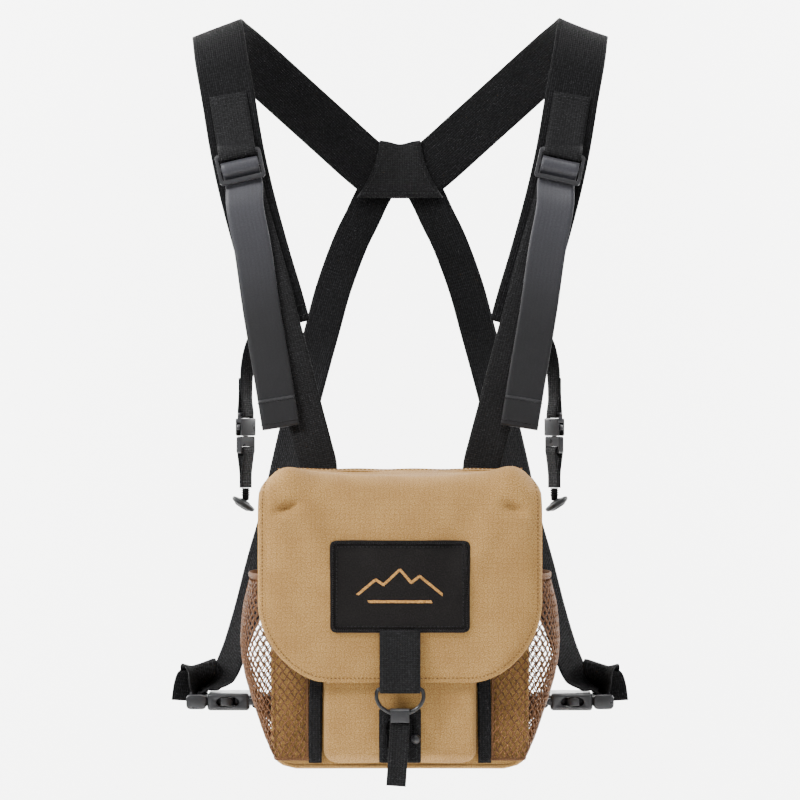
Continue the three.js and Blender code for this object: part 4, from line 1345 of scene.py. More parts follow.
# ---------------------------------------------------------------- case
@dataclass
class Case:
    """The padded case: front, gusset, back with its pad, welts and base board.

    Attributes:
        shop: Finishes and thread trees.
        corner: Radius of the lower corners.
        welt: Radius of the welt cord in the seams.
        swell: How far the padded walls swell.
    """

    shop: Workshop
    corner: float = 15.0
    welt: float = 1.7
    swell: float = 1.6

    def build(self) -> None:
        """Build every piece of the case."""
        self._build_front()
        self._build_gusset()
        self._build_back()
        self._build_welts()
        board = bpy.data.objects["base_board"]
        board.data.materials.clear()
        board.data.materials.append(self.shop.finishes.board)

    def _build_front(self) -> None:
        """Build the padded front panel, with the lining behind it."""
        low, high = box_mm("front_panel")
        levels = eased_levels(low[2], high[2], 46)
        widths = rounded_half_width(levels, high[0] - 0.4, low[2], high[2], self.corner, 4)

        def depth_at(x: Array, z: Array) -> Array:
            """Front face of the panel."""
            edge = np.minimum(high[0] - np.abs(x), z - low[2])
            return low[1] + 0.5 + 1.3 * np.exp(
                -np.maximum(edge, 0) / 3.0
            ) - 0.2 * np.sin(z / 11) * np.cos(x / 23)

        grid, cloth = level_grid(levels, widths, 52, depth_at)
        made = sheet(grid, cloth, 3.9).to_object(
            "case_front", [self.shop.finishes.oxford, self.shop.finishes.lining]
        )
        self.shop.place(made, "harness", "tan_cloth", ["front_panel"])
        hem = np.stack(
            [np.linspace(-77, 77, 60), np.full(60, low[1] + 0.6), np.full(60, high[2] - 4.5)], axis=1
        )
        self._stitch("case_front_hem_stitches", [hem])

    def _outline(self, y: float, top: float, inset: float = 0.0) -> Array:
        """Run down one side of the case, along its base and up the other.

        Args:
            y: Depth of the run.
            top: Height at its two ends.
            inset: How far it lies inside the case's outline.

        Returns:
            The run's points.
        """
        low, high = box_mm("side_and_base_gusset")
        half, base, radius = high[0] - inset, low[2] + inset, self.corner - inset
        turn = np.linspace(0, math.pi / 2, 12)
        left = [(-half, z) for z in np.linspace(top, base + radius, 40)[:-1]]
        left += [(-half + radius - radius * math.cos(a), base + radius - radius * math.sin(a)) for a in turn]
        flat = [(x, base) for x in np.linspace(-half + radius, half - radius, 40)[1:-1]]
        right = [(-x, z) for x, z in left[::-1]]
        return np.array([(x, y, z) for x, z in [*left, *flat, *right]])

    def _build_gusset(self) -> None:
        """Build the strip that makes the sides and the base."""
        low, high = box_mm("side_and_base_gusset")
        run = self._outline(0.0, high[2], 1.3)
        ways = np.gradient(run, axis=0)
        outward = np.stack([ways[:, 2], np.zeros(len(run)), -ways[:, 0]], axis=1)
        outward /= np.linalg.norm(outward, axis=1, keepdims=True)
        depths = np.linspace(low[1], high[1], 26)
        share = (depths - low[1]) / (high[1] - low[1])
        along = lengths_along(run)
        crown = self.swell * np.sin(math.pi * share) ** 0.6
        folds = 0.35 * np.sin(along / 9.0)[:, None] * np.sin(math.pi * share)[None, :] ** 2
        lift = crown[None, :] + folds
        grid = run[:, None] + outward[:, None] * lift[..., None]
        grid[..., 1] = depths[None, :]
        cloth = np.stack(np.broadcast_arrays(depths[None, :], along[:, None]), axis=2)
        made = sheet(grid, cloth, 2.9).to_object(
            "case_gusset", [self.shop.finishes.oxford, self.shop.finishes.lining]
        )
        self.shop.place(made, "harness", "tan_cloth", ["side_and_base_gusset"])

    def _build_back(self) -> None:
        """Build the back panel and the spacer-mesh pad that lies against the wearer."""
        low, high = box_mm("back_panel")
        levels = eased_levels(low[2], high[2], 46)
        widths = rounded_half_width(levels, high[0] - 0.4, low[2], high[2], self.corner, 10)

        def depth_at(x: Array, z: Array) -> Array:
            """Back face of the panel."""
            edge = np.minimum(high[0] - np.abs(x), np.minimum(z - low[2], high[2] - z))
            return high[1] - 0.8 - 1.3 * np.exp(-np.maximum(edge, 0) / 3.0)

        grid, cloth = level_grid(levels, widths, 52, depth_at)
        finishes = [self.shop.finishes.oxford, self.shop.finishes.lining]
        made = sheet(grid, cloth, 3.6, flip=True).to_object("case_back", finishes)
        self.shop.place(made, "harness", "tan_cloth", ["back_panel"])

        pad_low, pad_high, pad_half = low[2] + 14, high[2] - 14, high[0] - 15
        levels = eased_levels(pad_low, pad_high, 80)
        widths = rounded_half_width(levels, pad_half, pad_low, pad_high, 14, 14)

        def pad_at(x: Array, z: Array) -> Array:
            """Back face of the pad, pulled in at its edge and at two sewn channels."""
            edge = np.minimum(pad_half - np.abs(x), np.minimum(z - pad_low, pad_high - z))
            pillow = 1 - np.exp(-np.maximum(edge, 0) / 5.5)
            third = (pad_high - pad_low) / 3
            channel = bump_at(z, pad_low + third, 2.6) + bump_at(z, pad_low + 2 * third, 2.6)
            return high[1] - 0.4 + 3.6 * pillow * (1 - 0.8 * channel)

        grid, cloth = level_grid(levels, widths, 60, pad_at)
        pad = sheet(grid, cloth, 0.9, flip=True).to_object("back_pad", [self.shop.finishes.spacer])
        self.shop.place(pad, "harness", "tan_cloth")
        third = (pad_high - pad_low) / 3
        lines = []
        for level in (pad_low + third, pad_low + 2 * third):
            x = np.linspace(-pad_half + 4, pad_half - 4, 50)
            lines.append(np.stack([x, pad_at(x, np.full(50, level)) + 0.1, np.full(50, level)], axis=1))
        self._stitch("back_pad_stitches", lines, black=True)

    def _build_welts(self) -> None:
        """Build the welts in the front and back seams, each covered in the case's cloth."""
        front_low, front_high = box_mm("front_panel")
        _, back_high = box_mm("back_panel")
        front = even_run(self._outline(front_low[1] + 2.4, front_high[2] - 1, 0.9), 3)
        back = even_run(self._outline(back_high[1] - 1.6, back_high[2] - 8, 0.9), 3)
        top = even_run(np.array([back[-1], back[-1] + (-5, 0, 6.4), back[0] + (5, 0, 6.4), back[0]]), 3)
        closed = np.vstack([back, top[1:-1]])
        parts = [tube(front, self.welt, 10), tube(closed, self.welt, 10, looped=True)]
        made = joined(*parts).to_object("case_welts", [self.shop.finishes.oxford])
        self.shop.place(made, "harness", "tan_cloth")

    def _stitch(self, name: str, lines: Sequence[Array], black: bool = False) -> None:
        """Sew along lines on the case."""
        thread = self.shop.finishes.black_thread if black else self.shop.finishes.tan_thread
        made = self.shop.threads.stitches(name, lines, thread)
        self.shop.place(made, "harness", "tan_cloth")


# ---------------------------------------------------------------- front pocket
@dataclass
class FrontPocket:
    """The slip pocket on the case front, its black edge tapes and the base that the latch hangs over.

    Attributes:
        shop: Finishes and thread trees.
        corner: Radius of the lower corners.
        swell: How far the face swells below the flap.
        wall: Thickness of the cloth and its lining.
        cord_radius: Radius of the elastic loop on the latch base.
    """

    shop: Workshop
    corner: float = 9.0
    swell: float = 0.9
    wall: float = 1.5
    cord_radius: float = 1.15

    def build(self) -> None:
        """Build every piece of the pocket."""
        self._build_pouch()
        self._build_tapes()
        self._build_latch_base()

    def face_y(self, x: Array, z: Array) -> Array:
        """Depth of the pocket's front face.

        Args:
            x: Across the pack.
            z: Height.

        Returns:
            Y of the face, in millimetres.
        """
        low, high = box_mm("front_pocket")
        below = smooth_step(-z, 436, 456)
        puckers = 0.35 * np.sin(x / 3.1) * np.exp(-(high[0] - np.abs(x)) / 7) * below
        belly = self.swell * below * np.cos(np.clip(x / high[0], -1, 1) * math.pi / 2) ** 0.7
        return low[1] + 0.4 - belly + puckers

    def _build_pouch(self) -> None:
        """Build the pouch as one sheet that goes out from the case, across and back to it."""
        low, high = box_mm("front_pocket")
        levels = eased_levels(low[2], high[2], 56)
        half = rounded_half_width(levels, high[0], low[2], high[2], self.corner, 0.5)
        fall = np.clip(1 - (levels - low[2]) / 9.0, 0, 1)
        columns = 68
        turn = 6
        rows = []
        cloth_rows = []
        for level, width, drop in zip(levels, half, fall):
            back = high[1] - 0.2
            across = np.linspace(-width + 2.6, width - 2.6, columns - 2 * turn)
            level_line = np.full(len(across), level + 1.6 * bump_at(np.array(level), low[2], 8.0))
            face = self.face_y(across, level_line) + drop**2 * 8.2
            lobes = 1.5 * drop * np.exp(-((across / 12) ** 2))
            left = np.stack(
                [
                    -width + 2.6 * (1 - np.sin(np.linspace(0, math.pi / 2, turn, endpoint=False))[::-1]) ** 2,
                    back + (face[0] - back) * np.linspace(0, 1, turn, endpoint=False) ** 0.8,
                    np.full(turn, level),
                ],
                axis=1,
            )
            left[:, 0] = -width + 2.6 * np.linspace(0, 1, turn, endpoint=False) ** 3
            middle = np.stack([across, face, np.full(len(across), level) + lobes], axis=1)
            right = left[::-1] * (-1, 1, 1)
            line = np.vstack([left, middle, right])
            rows.append(line)
            run = lengths_along(line)
            cloth_rows.append(np.stack([run - run[-1] / 2, np.full(columns, level)], axis=1))
        grid, cloth = np.array(rows), np.array(cloth_rows)
        finishes = [self.shop.finishes.oxford, self.shop.finishes.lining]
        made = sheet(grid, cloth, self.wall, 0.4).to_object("pocket_pouch", finishes)
        self.shop.place(made, "harness", "tan_cloth", ["front_pocket"])
        x = np.linspace(-high[0] + 5, high[0] - 5, 50)
        lines = []
        for level in (high[2] - 4, high[2] - 9):
            z = np.full(50, level)
            lines.append(np.stack([x, self.face_y(x, z) - 0.1, z], axis=1))
        self._sew("pocket_hem_stitches", lines, self.shop.finishes.tan_thread, "tan_cloth")

    def _build_tapes(self) -> None:
        """Build the two black tapes that bind the pocket and the nets to the case front."""
        for name, side in SIDES:
            low, high = box_mm(f"pocket_tape_{name}")
            middle = (abs(low[0]) + abs(high[0])) / 2
            y = (low[1] + high[1]) / 2
            stations = [
                ((middle + 0.9, y, low[2]), (1, 0, 0.02)),
                ((middle + 0.7, y - 0.25, low[2] + 34), (1, 0, 0.02)),
                ((middle - 0.2, y, low[2] + 70), (1, 0, 0.02)),
                ((middle - 0.5, y, high[2]), (1, 0, 0.02)),
            ]
            body, line, wide, _ = strap(stations, high[0] - low[0], high[1] - low[1] - 0.3, side)
            made = body.to_object(f"pocket_tape_{name}_bound", [self.shop.finishes.webbing])
            self.shop.place(made, "harness", "black_webbing", [f"pocket_tape_{name}"])
            front = np.array([0.0, -1.25, 0.0])
            lines = [line[1:-1] + wide[1:-1] * edge + front for edge in (-2.9, 2.9)]
            self._sew(f"pocket_tape_{name}_stitches", lines, self.shop.finishes.black_thread, "black_webbing")

    def _build_latch_base(self) -> None:
        """Build the webbing base with its box of stitches, and the elastic loop with its bead."""
        low, high = box_mm("latch_base")
        levels = np.linspace(low[2], high[2], 26)

        def depth_at(x: Array, z: Array) -> Array:
            """Front face of the base."""
            return self.face_y(x, z) - 1.9 + 0.5 * np.exp(-(13 - np.abs(x)) / 1.2)

        grid, cloth = level_grid(levels, np.full(26, high[0]), 22, depth_at)
        made = sheet(grid, cloth, 1.3).to_object("latch_base_webbing", [self.shop.finishes.webbing])
        self.shop.place(made, "harness", "black_webbing", ["latch_base"])
        x0, z0, z1 = high[0] - 2.4, low[2] + 2.4, high[2] - 2.4
        corners = [(-x0, z0), (x0, z0), (x0, z1), (-x0, z1), (-x0, z0)]
        box = even_run(np.array(corners), 1.5)
        bars = [box] + [even_run(np.array([(-x0, z), (x0, z)]), 1.5) for z in (-478.0, -466.0)]
        lines = [np.stack([b[:, 0], depth_at(b[:, 0], b[:, 1]) - 0.1, b[:, 1]], axis=1) for b in bars]
        self._sew("latch_base_stitches", lines, self.shop.finishes.black_thread, "black_webbing")

        cord_low, cord_high = box_mm("latch_cord")
        y = (cord_low[1] + cord_high[1]) / 2
        reach = cord_high[0] - 1.2
        crown, foot = cord_high[2] - 1.2, cord_low[2]
        route, _ = Path(
            [
                (-reach, y + 1.2, foot),
                (-reach, y, foot + 6),
                (-reach, y, crown - 5),
                (-reach + 3, y, crown - 0.8),
                (0, y, crown),
                (reach - 3, y, crown - 0.8),
                (reach + 0.5, y, crown - 5),
                (reach + 0.8, y, foot + 8),
                (reach + 0.3, y + 0.8, foot + 1.5),
            ]
        ).at(np.linspace(0, 1, 70))
        ribs = self.cord_radius * (1 + 0.07 * np.sin(lengths_along(route) * 3.2))
        cord = tube(route, ribs, 12).to_object("latch_cord_elastic", [self.shop.finishes.elastic])
        self.shop.place(cord, "harness", "black_elastic", ["latch_cord"])
        turns = np.linspace(0, math.pi, 13)
        bead_route = np.stack(
            [np.full(13, reach + 1.2), np.full(13, y - 0.3), foot + 5.2 - 3.1 * np.cos(turns)], axis=1
        )
        bead = tube(bead_route, np.maximum(3.1 * np.sin(turns), 0.25), 18)
        made = bead.to_object("latch_cord_bead", [self.shop.finishes.acetal])
        self.shop.place(made, "harness", "black_acetal")

    def _sew(self, name: str, lines: Sequence[Array], thread: bpy.types.Material, slot: str) -> None:
        """Sew along lines on the pocket."""
        self.shop.place(self.shop.threads.stitches(name, lines, thread, 2.8, 2.2, 0.6, 0.6), "harness", slot)


# ---------------------------------------------------------------- side net pockets
@dataclass
class NetPockets:
    """The two open net pockets that wrap from the case front round to its back edge.

    Attributes:
        shop: Finishes and thread trees.
        bulge: How far the net stands off the side of the case.
        cell_width: Width of one diamond of the net.
        cell_height: Height of one diamond.
        strand: Radius of a strand.
        skin: Distance of the net's middle from the case wall.
    """

    shop: Workshop
    bulge: float = 21.0
    cell_width: float = 4.8
    cell_height: float = 6.6
    strand: float = 0.48
    skin: float = 1.6

    def build(self) -> None:
        """Build both pockets."""
        for name, side in SIDES:
            self._build_side(name, side)

    def _plan(self, up: float) -> Array:
        """Middle line of the net seen from above, at a share of its height.

        Args:
            up: 0 at the bottom and 1 at the rim.

        Returns:
            Evenly spaced points from the tape on the front to the back seam, X counted outwards.
        """
        _, case_high = box_mm("side_and_base_gusset")
        front_low, _ = box_mm("front_panel")
        back_high = box_mm("back_panel")[1]
        tape = box_mm("pocket_tape_right")[1]
        # The net hangs full below its rim and is drawn in under the case's lower corner.
        heights = (0.0, 0.083, 0.187, 0.326, 0.447, 0.555, 0.66, 0.78, 0.87, 1.0)
        swells = (0.0, 0.1, 0.34, 0.62, 0.82, 0.94, 0.98, 0.94, 0.88, 0.7)
        out = self.bulge * float(np.interp(up, heights, swells))
        tuck = 3.5 * max(0.0, 1 - up / 0.14) ** 2
        depth = back_high[1] - front_low[1]
        y = front_low[1] - self.skin
        half, x = case_high[0] - tuck, case_high[0] + self.skin - tuck
        path = Path(
            [
                (tape[0] + 0.3, y, 0),
                (tape[0] + 12.3, y - 0.16 * out, 0),
                (half, y - 0.14 * out, 0),
                (x + 0.62 * out, y + 8, 0),
                (x + 0.95 * out, front_low[1] + 0.36 * depth, 0),
                (x + 0.92 * out, front_low[1] + 0.66 * depth, 0),
                (x + 0.6 * out, back_high[1] - 11, 0),
                (x, back_high[1] - 3.5, 0),
            ]
        )
        places, _ = path.at(np.linspace(0, 1, 141))
        return even_run(places, lengths_along(places)[-1] / 120)[:121]

    def _build_side(self, name: str, side: int) -> None:
        """Build one pocket: strands, rim and seams.

        Args:
            name: left or right.
            side: -1 or 1.
        """
        low, high = box_mm(f"net_pocket_{name}")
        rim_low, rim_high = box_mm(f"net_binding_{name}")
        height = high[2] - low[2]
        ups = np.linspace(0, 1, 61)
        plans = np.array([self._plan(u) for u in ups])
        share = np.linspace(0, 1, plans.shape[1])

        def at(along: Array, up: Array) -> Array:
            """Places on the net from shares along and up it."""
            position = np.clip(up, 0, 1) * (len(ups) - 1)
            index = np.minimum(position.astype(int), len(ups) - 2)
            weight = (position - index)[:, None]
            lower = np.stack(
                [
                    np.array(
                        [np.interp(a, share, plans[i, :, k]) for a, i in zip(along, index)]
                    ) for k in (0, 1)
                ],
                axis=1
            )
            upper = np.stack(
                [
                    np.array(
                        [np.interp(a, share, plans[i + 1, :, k]) for a, i in zip(along, index)]
                    ) for k in (0, 1)
                ],
                axis=1
            )
            flat = lower * (1 - weight) + upper * weight
            return np.stack([side * flat[:, 0], flat[:, 1], low[2] + height * up], axis=1)

        width = float(np.mean([lengths_along(p)[-1] for p in plans]))
        cells = int(round(width / self.cell_width))
        levels = int(round(height / self.cell_height))
        lines = []
        steps = levels * 3 + 1
        for way, lift in ((1, 0.28), (-1, -0.28)):
            for k in range(-levels, cells + levels + 1):
                up = np.linspace(0, 1, steps)
                wave = 0.16 * np.sin(2 * math.pi * up * levels) * 0.6
                along = (k + way * (up * levels) + wave) / cells
                inside = (along >= 0) & (along <= 1)
                if inside.sum() < 3:
                    continue
                line = at(along[inside], up[inside])
                line[:, 0] += side * lift * np.cos(np.pi * up[inside] * levels * 2) * 0.6
                lines.append(line)
        strands = self.shop.threads.strands(f"net_strands_{name}", lines, self.shop.finishes.net, self.strand)
        self.shop.place(strands, "harness", "brown_net", [f"net_pocket_{name}"])

        # Rim: a gathered elastic binding folded over the net's top edge.
        count = 110
        rim = at(np.linspace(0, 1, count), np.ones(count))
        rim[:, 2] = (rim_low[2] + rim_high[2]) / 2
        gather = 1 + 0.1 * np.sin(np.arange(count) * 1.9)
        ways = np.gradient(rim, axis=0)
        out = np.stack([ways[:, 1], -ways[:, 0], np.zeros(count)], axis=1) * side
        out /= np.linalg.norm(out, axis=1, keepdims=True)
        around = np.linspace(0, 2 * math.pi, 14, endpoint=False)
        tall = (rim_high[2] - rim_low[2]) / 3
        rings = (
            rim[:, None]
            + out[:, None] * (0.75 * np.cos(around)[None, :, None] * gather[:, None, None])
            + np.array([0, 0, 1.0]) * (
                tall * np.sin(around)[None, :, None] * (
                    1 + 0.04 * np.cos(np.arange(count) * 1.1)
                )[:, None, None]
            )
        )
        run = lengths_along(rim)
        cloth = np.stack(np.broadcast_arrays((around * 2.6)[None, :], run[:, None]), axis=2)
        if side < 0:
            rings, cloth = rings[:, ::-1], cloth[:, ::-1]
        made = loft(rings, cloth).to_object(f"net_rim_{name}", [self.shop.finishes.net_binding])
        self.shop.place(made, "harness", "brown_net", [f"net_binding_{name}"])
        recalculate(made)

        seams = []
        for along in (0.012, 0.988):
            up = np.linspace(0, 1, 50)
            seams.append(tube(at(np.full(50, along), up), 0.85, 8))
        seams.append(tube(at(np.linspace(0, 1, 110), np.full(110, 0.004)), 1.0, 8))
        made = joined(*seams).to_object(f"net_seams_{name}", [self.shop.finishes.net_binding])
        self.shop.place(made, "harness", "brown_net")
        recalculate(made)


def recalculate(piece: bpy.types.Object) -> None:
    """Turn a closed piece's faces outwards."""
    shape = bmesh.new()
    shape.from_mesh(piece.data)
    bmesh.ops.recalc_face_normals(shape, faces=shape.faces)
    shape.to_mesh(piece.data)
    shape.free()


# ---------------------------------------------------------------- flap
@dataclass
class Flap:
    """The padded drop-front flap with its patch and the strap that holds the ring.

    Attributes:
        shop: Finishes and thread trees.
        bend: Radius of the bend over the case's front top edge.
        thickness: Thickness of the padded cloth.
        crown: How far the front face swells.
        corner_run: Where the lower corners leave the straight bottom edge.
        corner_rise: How high they reach up the sides.
        hem: Distance of the stitch line from the edge.
    """

    shop: Workshop
    bend: float = 20.0
    thickness: float = 3.8
    crown: float = 3.2
    corner_run: float = 46.0
    corner_rise: float = 52.0
    hem: float = 2.9

    def build(self) -> None:
        """Build every piece of the flap."""
        self._build_cloth()
        self._build_edge_stitches()
        self._build_hinge_cloth()
        self._build_patch()
        self._build_strap()

    def _limits(self) -> tuple[float, float, float, float, float]:
        """Half-width, hinge Y, top Z, front Y and bottom Z of the flap."""
        low, high = box_mm("flap")
        return high[0], high[1], high[2], low[1], low[2]

    def _profile(self, run: Array) -> tuple[Array, Array]:
        """Middle profile of the outer face.

        Args:
            run: Distance from the hinge along the cloth.

        Returns:
            (Y, Z) places and (Y, Z) outward directions.
        """
        _, hinge_y, top, front, _ = self._limits()
        flat = hinge_y - (front + self.bend)
        arc = self.bend * math.pi / 2
        angle = np.clip((run - flat) / self.bend, 0, math.pi / 2)
        y = hinge_y - np.minimum(run, flat) - self.bend * np.sin(angle)
        z = top - self.bend * (1 - np.cos(angle)) - np.maximum(run - flat - arc, 0)
        return np.stack([y, z], axis=-1), np.stack([-np.sin(angle), np.cos(angle)], axis=-1)

    def run_end(self) -> float:
        """Length of the cloth from the hinge to the bottom edge."""
        _, hinge_y, top, front, bottom = self._limits()
        return hinge_y - front - self.bend + self.bend * math.pi / 2 + (top - self.bend - bottom)

    def half_width(self, run: Array) -> Array:
        """Half-width of the flap at a distance from the hinge."""
        half = self._limits()[0]
        end = self.run_end()
        rise = self.corner_rise
        t = np.linspace(0, 1, 60)
        edge_x = half * (1 - t) ** 3 + 3 * half * (1 - t) ** 2 * t + 3 * (
            half - self.corner_run + 22
        ) * (1 - t) * t**2
        edge_x += (half - self.corner_run) * t**3
        edge_up = rise * (1 - t) ** 3 + 3 * (rise - 28) * (1 - t) ** 2 * t
        lower = np.interp(end - run, edge_up[::-1], edge_x[::-1])
        upper = half - 9.5 * np.exp(-np.maximum(run - 52, 0) / 22.0) * smooth_step(-run, -112, -70)
        return np.minimum(lower, upper)

    def surface(self, x: Array, run: Array) -> Array:
        """Places on the outer face.

        Args:
            x: Across the flap.
            run: Distance from the hinge along the cloth.

        Returns:
            Points in millimetres, with one more axis than x.
        """
        half = self.half_width(run)
        end = self.run_end()
        place, out = self._profile(run)
        side = np.abs(x)
        front = smooth_step(run, 96, 128) * smooth_step(-run, -(end - 6), -(end - 44))
        lift = self.crown * front * np.clip(1 - (x / 96.0) ** 2, 0, 1)
        # The top dips in the middle and stands up over the case's two front corners.
        lift += 4.8 * np.exp(-(((side - 71) / 12) ** 2) - (((run - 82) / 15) ** 2))
        lift += -2.6 * np.exp(-((x / 52) ** 4)) * np.exp(
            -((np.maximum(run - 78, 0) / 24) ** 2)
        ) * smooth_step(run, 3, 26)
        lift += -4.6 * np.exp(-(((side - 72) / 7.5) ** 2) - (((run - 105 - 0.35 * (side - 72)) / 3.6) ** 2))
        lift += 2.2 * np.exp(-(((side - 74) / 10.0) ** 2) - (((run - 113) / 5.2) ** 2))
        # Long soft folds run down from the corners towards the patch.
        for offset, width, height in ((62, 9, 2.4), (44, 12, -2.6), (82, 9, 1.4)):
            lift += height * np.exp(
                -(((side - offset + 0.42 * (run - 108)) / width) ** 2)
            ) * bump_at(run, 130, 27)
        lift += 0.55 * np.sin(x / 15.0 + 0.6) * np.sin(run / 19.0) * smooth_step(half - side, 2, 16)
        lift += 0.9 * np.sin(x / 11.0 + 0.8) * smooth_step(run, end - 26, end - 3)
        # The sides drape round the case and the edge is rolled into a hem.
        drape = np.clip((side - (half - 15)) / 15, 0, 1)
        drop = np.where(run < 92, 7.0, 4.2) * (
            1 - smooth_step(run, 80, 110)
        ) + 3.4 * smooth_step(run, 80, 110)
        lift -= drop * drape**2 * smooth_step(end - run, -4, 34)
        edge = np.minimum(half - side, end - run)
        lift -= 0.55 * (1 - smooth_step(edge, 5.6, 7.2)) + 0.8 * np.exp(-np.maximum(edge, 0) / 0.8)
        yz = place + out * lift[..., None]
        return np.concatenate([x[..., None], yz], axis=-1)

    def front_y(self, x: Array, z: Array) -> Array:
        """Depth of the outer face on the flap's front, below the bend."""
        _, hinge_y, top, front, _ = self._limits()
        run = hinge_y - front - self.bend + self.bend * math.pi / 2 + (top - self.bend - z)
        x, run = np.broadcast_arrays(np.asarray(x, float), np.asarray(run, float))
        return self.surface(x, run)[..., 1]

    def _build_cloth(self) -> None:
        """Build the padded cloth with its lining."""
        end = self.run_end()
        runs = np.concatenate([np.linspace(0, end - 6, 128, endpoint=False), np.linspace(end - 6, end, 9)])
        spread = np.linspace(-1, 1, 119)
        share = 0.8 * spread + 0.2 * np.sin(spread * math.pi / 2)
        x = self.half_width(runs)[:, None] * share[None, :]
        run_grid = np.broadcast_to(runs[:, None], x.shape)
        grid = self.surface(x, run_grid)
        cloth = np.stack([x, -run_grid], axis=2)
        finishes = [self.shop.finishes.oxford, self.shop.finishes.lining]
        made = sheet(grid, cloth, self.thickness, 0.35, flip=True).to_object("flap_cloth", finishes)
        self.shop.place(made, "flap", "tan_cloth", ["flap"])

    def _border(self, inset: float, start: float) -> Array:
        """Run of (x, run) pairs parallel to the flap's edge.

        Args:
            inset: Distance inside the edge.
            start: Where it starts and ends, from the hinge.

        Returns:
            The evenly spaced pairs.
        """
        end = self.run_end()
        runs = np.linspace(start, end, 260)
        right = np.stack([self.half_width(runs), runs], axis=1)
        edge = np.vstack([right * (-1, 1), right[::-1]])
        edge = even_run(edge, 1.2)
        ways = np.gradient(edge, axis=0)
        ways /= np.maximum(np.linalg.norm(ways, axis=1, keepdims=True), 1e-9)
        inward = np.stack([ways[:, 1], -ways[:, 0]], axis=1)
        moved = edge + inward * inset
        return moved

    def _build_edge_stitches(self) -> None:
        """Sew the hem down both sides and along the bottom."""
        pairs = even_run(self._border(self.hem, 16.0), 1.0)
        line = self.surface(pairs[:, 0], pairs[:, 1])
        _, out = self._profile(pairs[:, 1])
        line[:, 1:] += out * 0.12
        made = self.shop.threads.stitches(
            "flap_hem_stitches", [line], self.shop.finishes.tan_thread, 2.5, 1.5, 0.8, 0.8
        )
        self.shop.place(made, "flap", "tan_cloth")

    def _build_hinge_cloth(self) -> None:
        """Build the cloth that joins the flap to the top of the back panel, curved over the panel's top edge.
        """
        half, hinge_y, top, _, _ = self._limits()
        back_high = box_mm("back_panel")[1]
        route = np.array(
            [
                (back_high[1] - 1.6, back_high[2] - 5.0),
                (back_high[1] - 1.2, back_high[2] - 1.0),
                (back_high[1] - 2.2, back_high[2] + 1.7),
                (hinge_y + 1.0, top + 0.35),
                (hinge_y - 5.0, top + 0.55),
                (hinge_y - 13.0, top + 0.2),
            ]
        )
        fine, _ = Path(np.column_stack([np.zeros(len(route)), route])).at(np.linspace(0, 1, 30))
        x = np.linspace(-half + 11, half - 11, 60)
        grid = np.stack(np.broadcast_arrays(x[None, :], fine[:, 1:2], fine[:, 2:3]), axis=2).copy()
        grid[..., 2] += 0.25 * np.sin(x / 6.0)[None, :]
        sink = 2.6 * np.exp(-((x / 52) ** 4))
        grid[..., 2] -= sink[None, :] * smooth_step(hinge_y - grid[..., 1], 3, 26)
        cloth = np.stack(np.broadcast_arrays(x[None, :], -lengths_along(fine)[:, None]), axis=2)
        made = sheet(grid, cloth, 0.9, flip=True).to_object("flap_hinge_cloth", [self.shop.finishes.oxford])
        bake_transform(made)
        seam = top + 0.85 + 0.25 * np.sin(x / 6.0) - sink * float(smooth_step(np.array([10.5]), 3, 26)[0])
        line = np.stack([x, np.full(60, hinge_y - 10.5), seam], axis=1)
        thread = self.shop.finishes.tan_thread
        made = self.shop.threads.stitches("flap_hinge_stitches", [line], thread, 2.7, 2.0, 0.6, 0.6)
        self.shop.place(made, "flap", "tan_cloth")

    def _build_patch(self) -> None:
        """Build the sewn patch, its overlocked edge, its stitches and its ridge-line motif."""
        low, high = box_mm("front_patch")
        levels = eased_levels(low[2], high[2], 44)
        widths = rounded_half_width(levels, high[0], low[2], high[2], 3.5, 3.5)

        def depth_at(x: Array, z: Array) -> Array:
            """Front face of the patch, a little proud of the flap."""
            edge = np.minimum(high[0] - np.abs(x), np.minimum(z - low[2], high[2] - z))
            return self.front_y(x, z) - 1.55 + 0.35 * np.exp(-np.maximum(edge, 0) / 2.2)

        grid, cloth = level_grid(levels, widths, 60, depth_at)
        made = sheet(grid, cloth, 1.3).to_object("patch_felt", [self.shop.finishes.felt])
        self.shop.place(made, "flap", "patch_cloth", ["front_patch"])

        def on_patch(line: Array, proud: float) -> Array:
            """Lay (x, z) points on the patch."""
            return np.stack([line[:, 0], depth_at(line[:, 0], line[:, 1]) - proud, line[:, 1]], axis=1)

        def frame(inset: float, radius: float) -> Array:
            """Closed (x, z) run round the patch."""
            half, z0, z1 = high[0] - inset, low[2] + inset, high[2] - inset
            turn = np.linspace(0, math.pi / 2, 8)
            corners = [(half - radius, z0 + radius, -math.pi / 2), (half - radius, z1 - radius, 0.0)]
            corners += [(-half + radius, z1 - radius, math.pi / 2), (-half + radius, z0 + radius, math.pi)]
            points = [
                (cx + radius * math.cos(a + t), cz + radius * math.sin(a + t)) for cx, cz,
                a in corners for t in turn
            ]
            points.append(points[0])
            return even_run(np.array(points), 1.0)

        black = self.shop.finishes.black_thread
        edge = on_patch(frame(1.3, 2.6), 0.15)
        made = self.shop.threads.stitches("patch_overlock", [edge], black, 1.25, 0.95, 1.0, 3.0, lean=14)
        self.shop.place(made, "flap", "patch_cloth")
        inner = on_patch(frame(3.6, 1.5), 0.1)
        made = self.shop.threads.stitches("patch_stitches", [inner], black, 2.4, 1.8, 0.7, 0.7)
        self.shop.place(made, "flap", "patch_cloth")

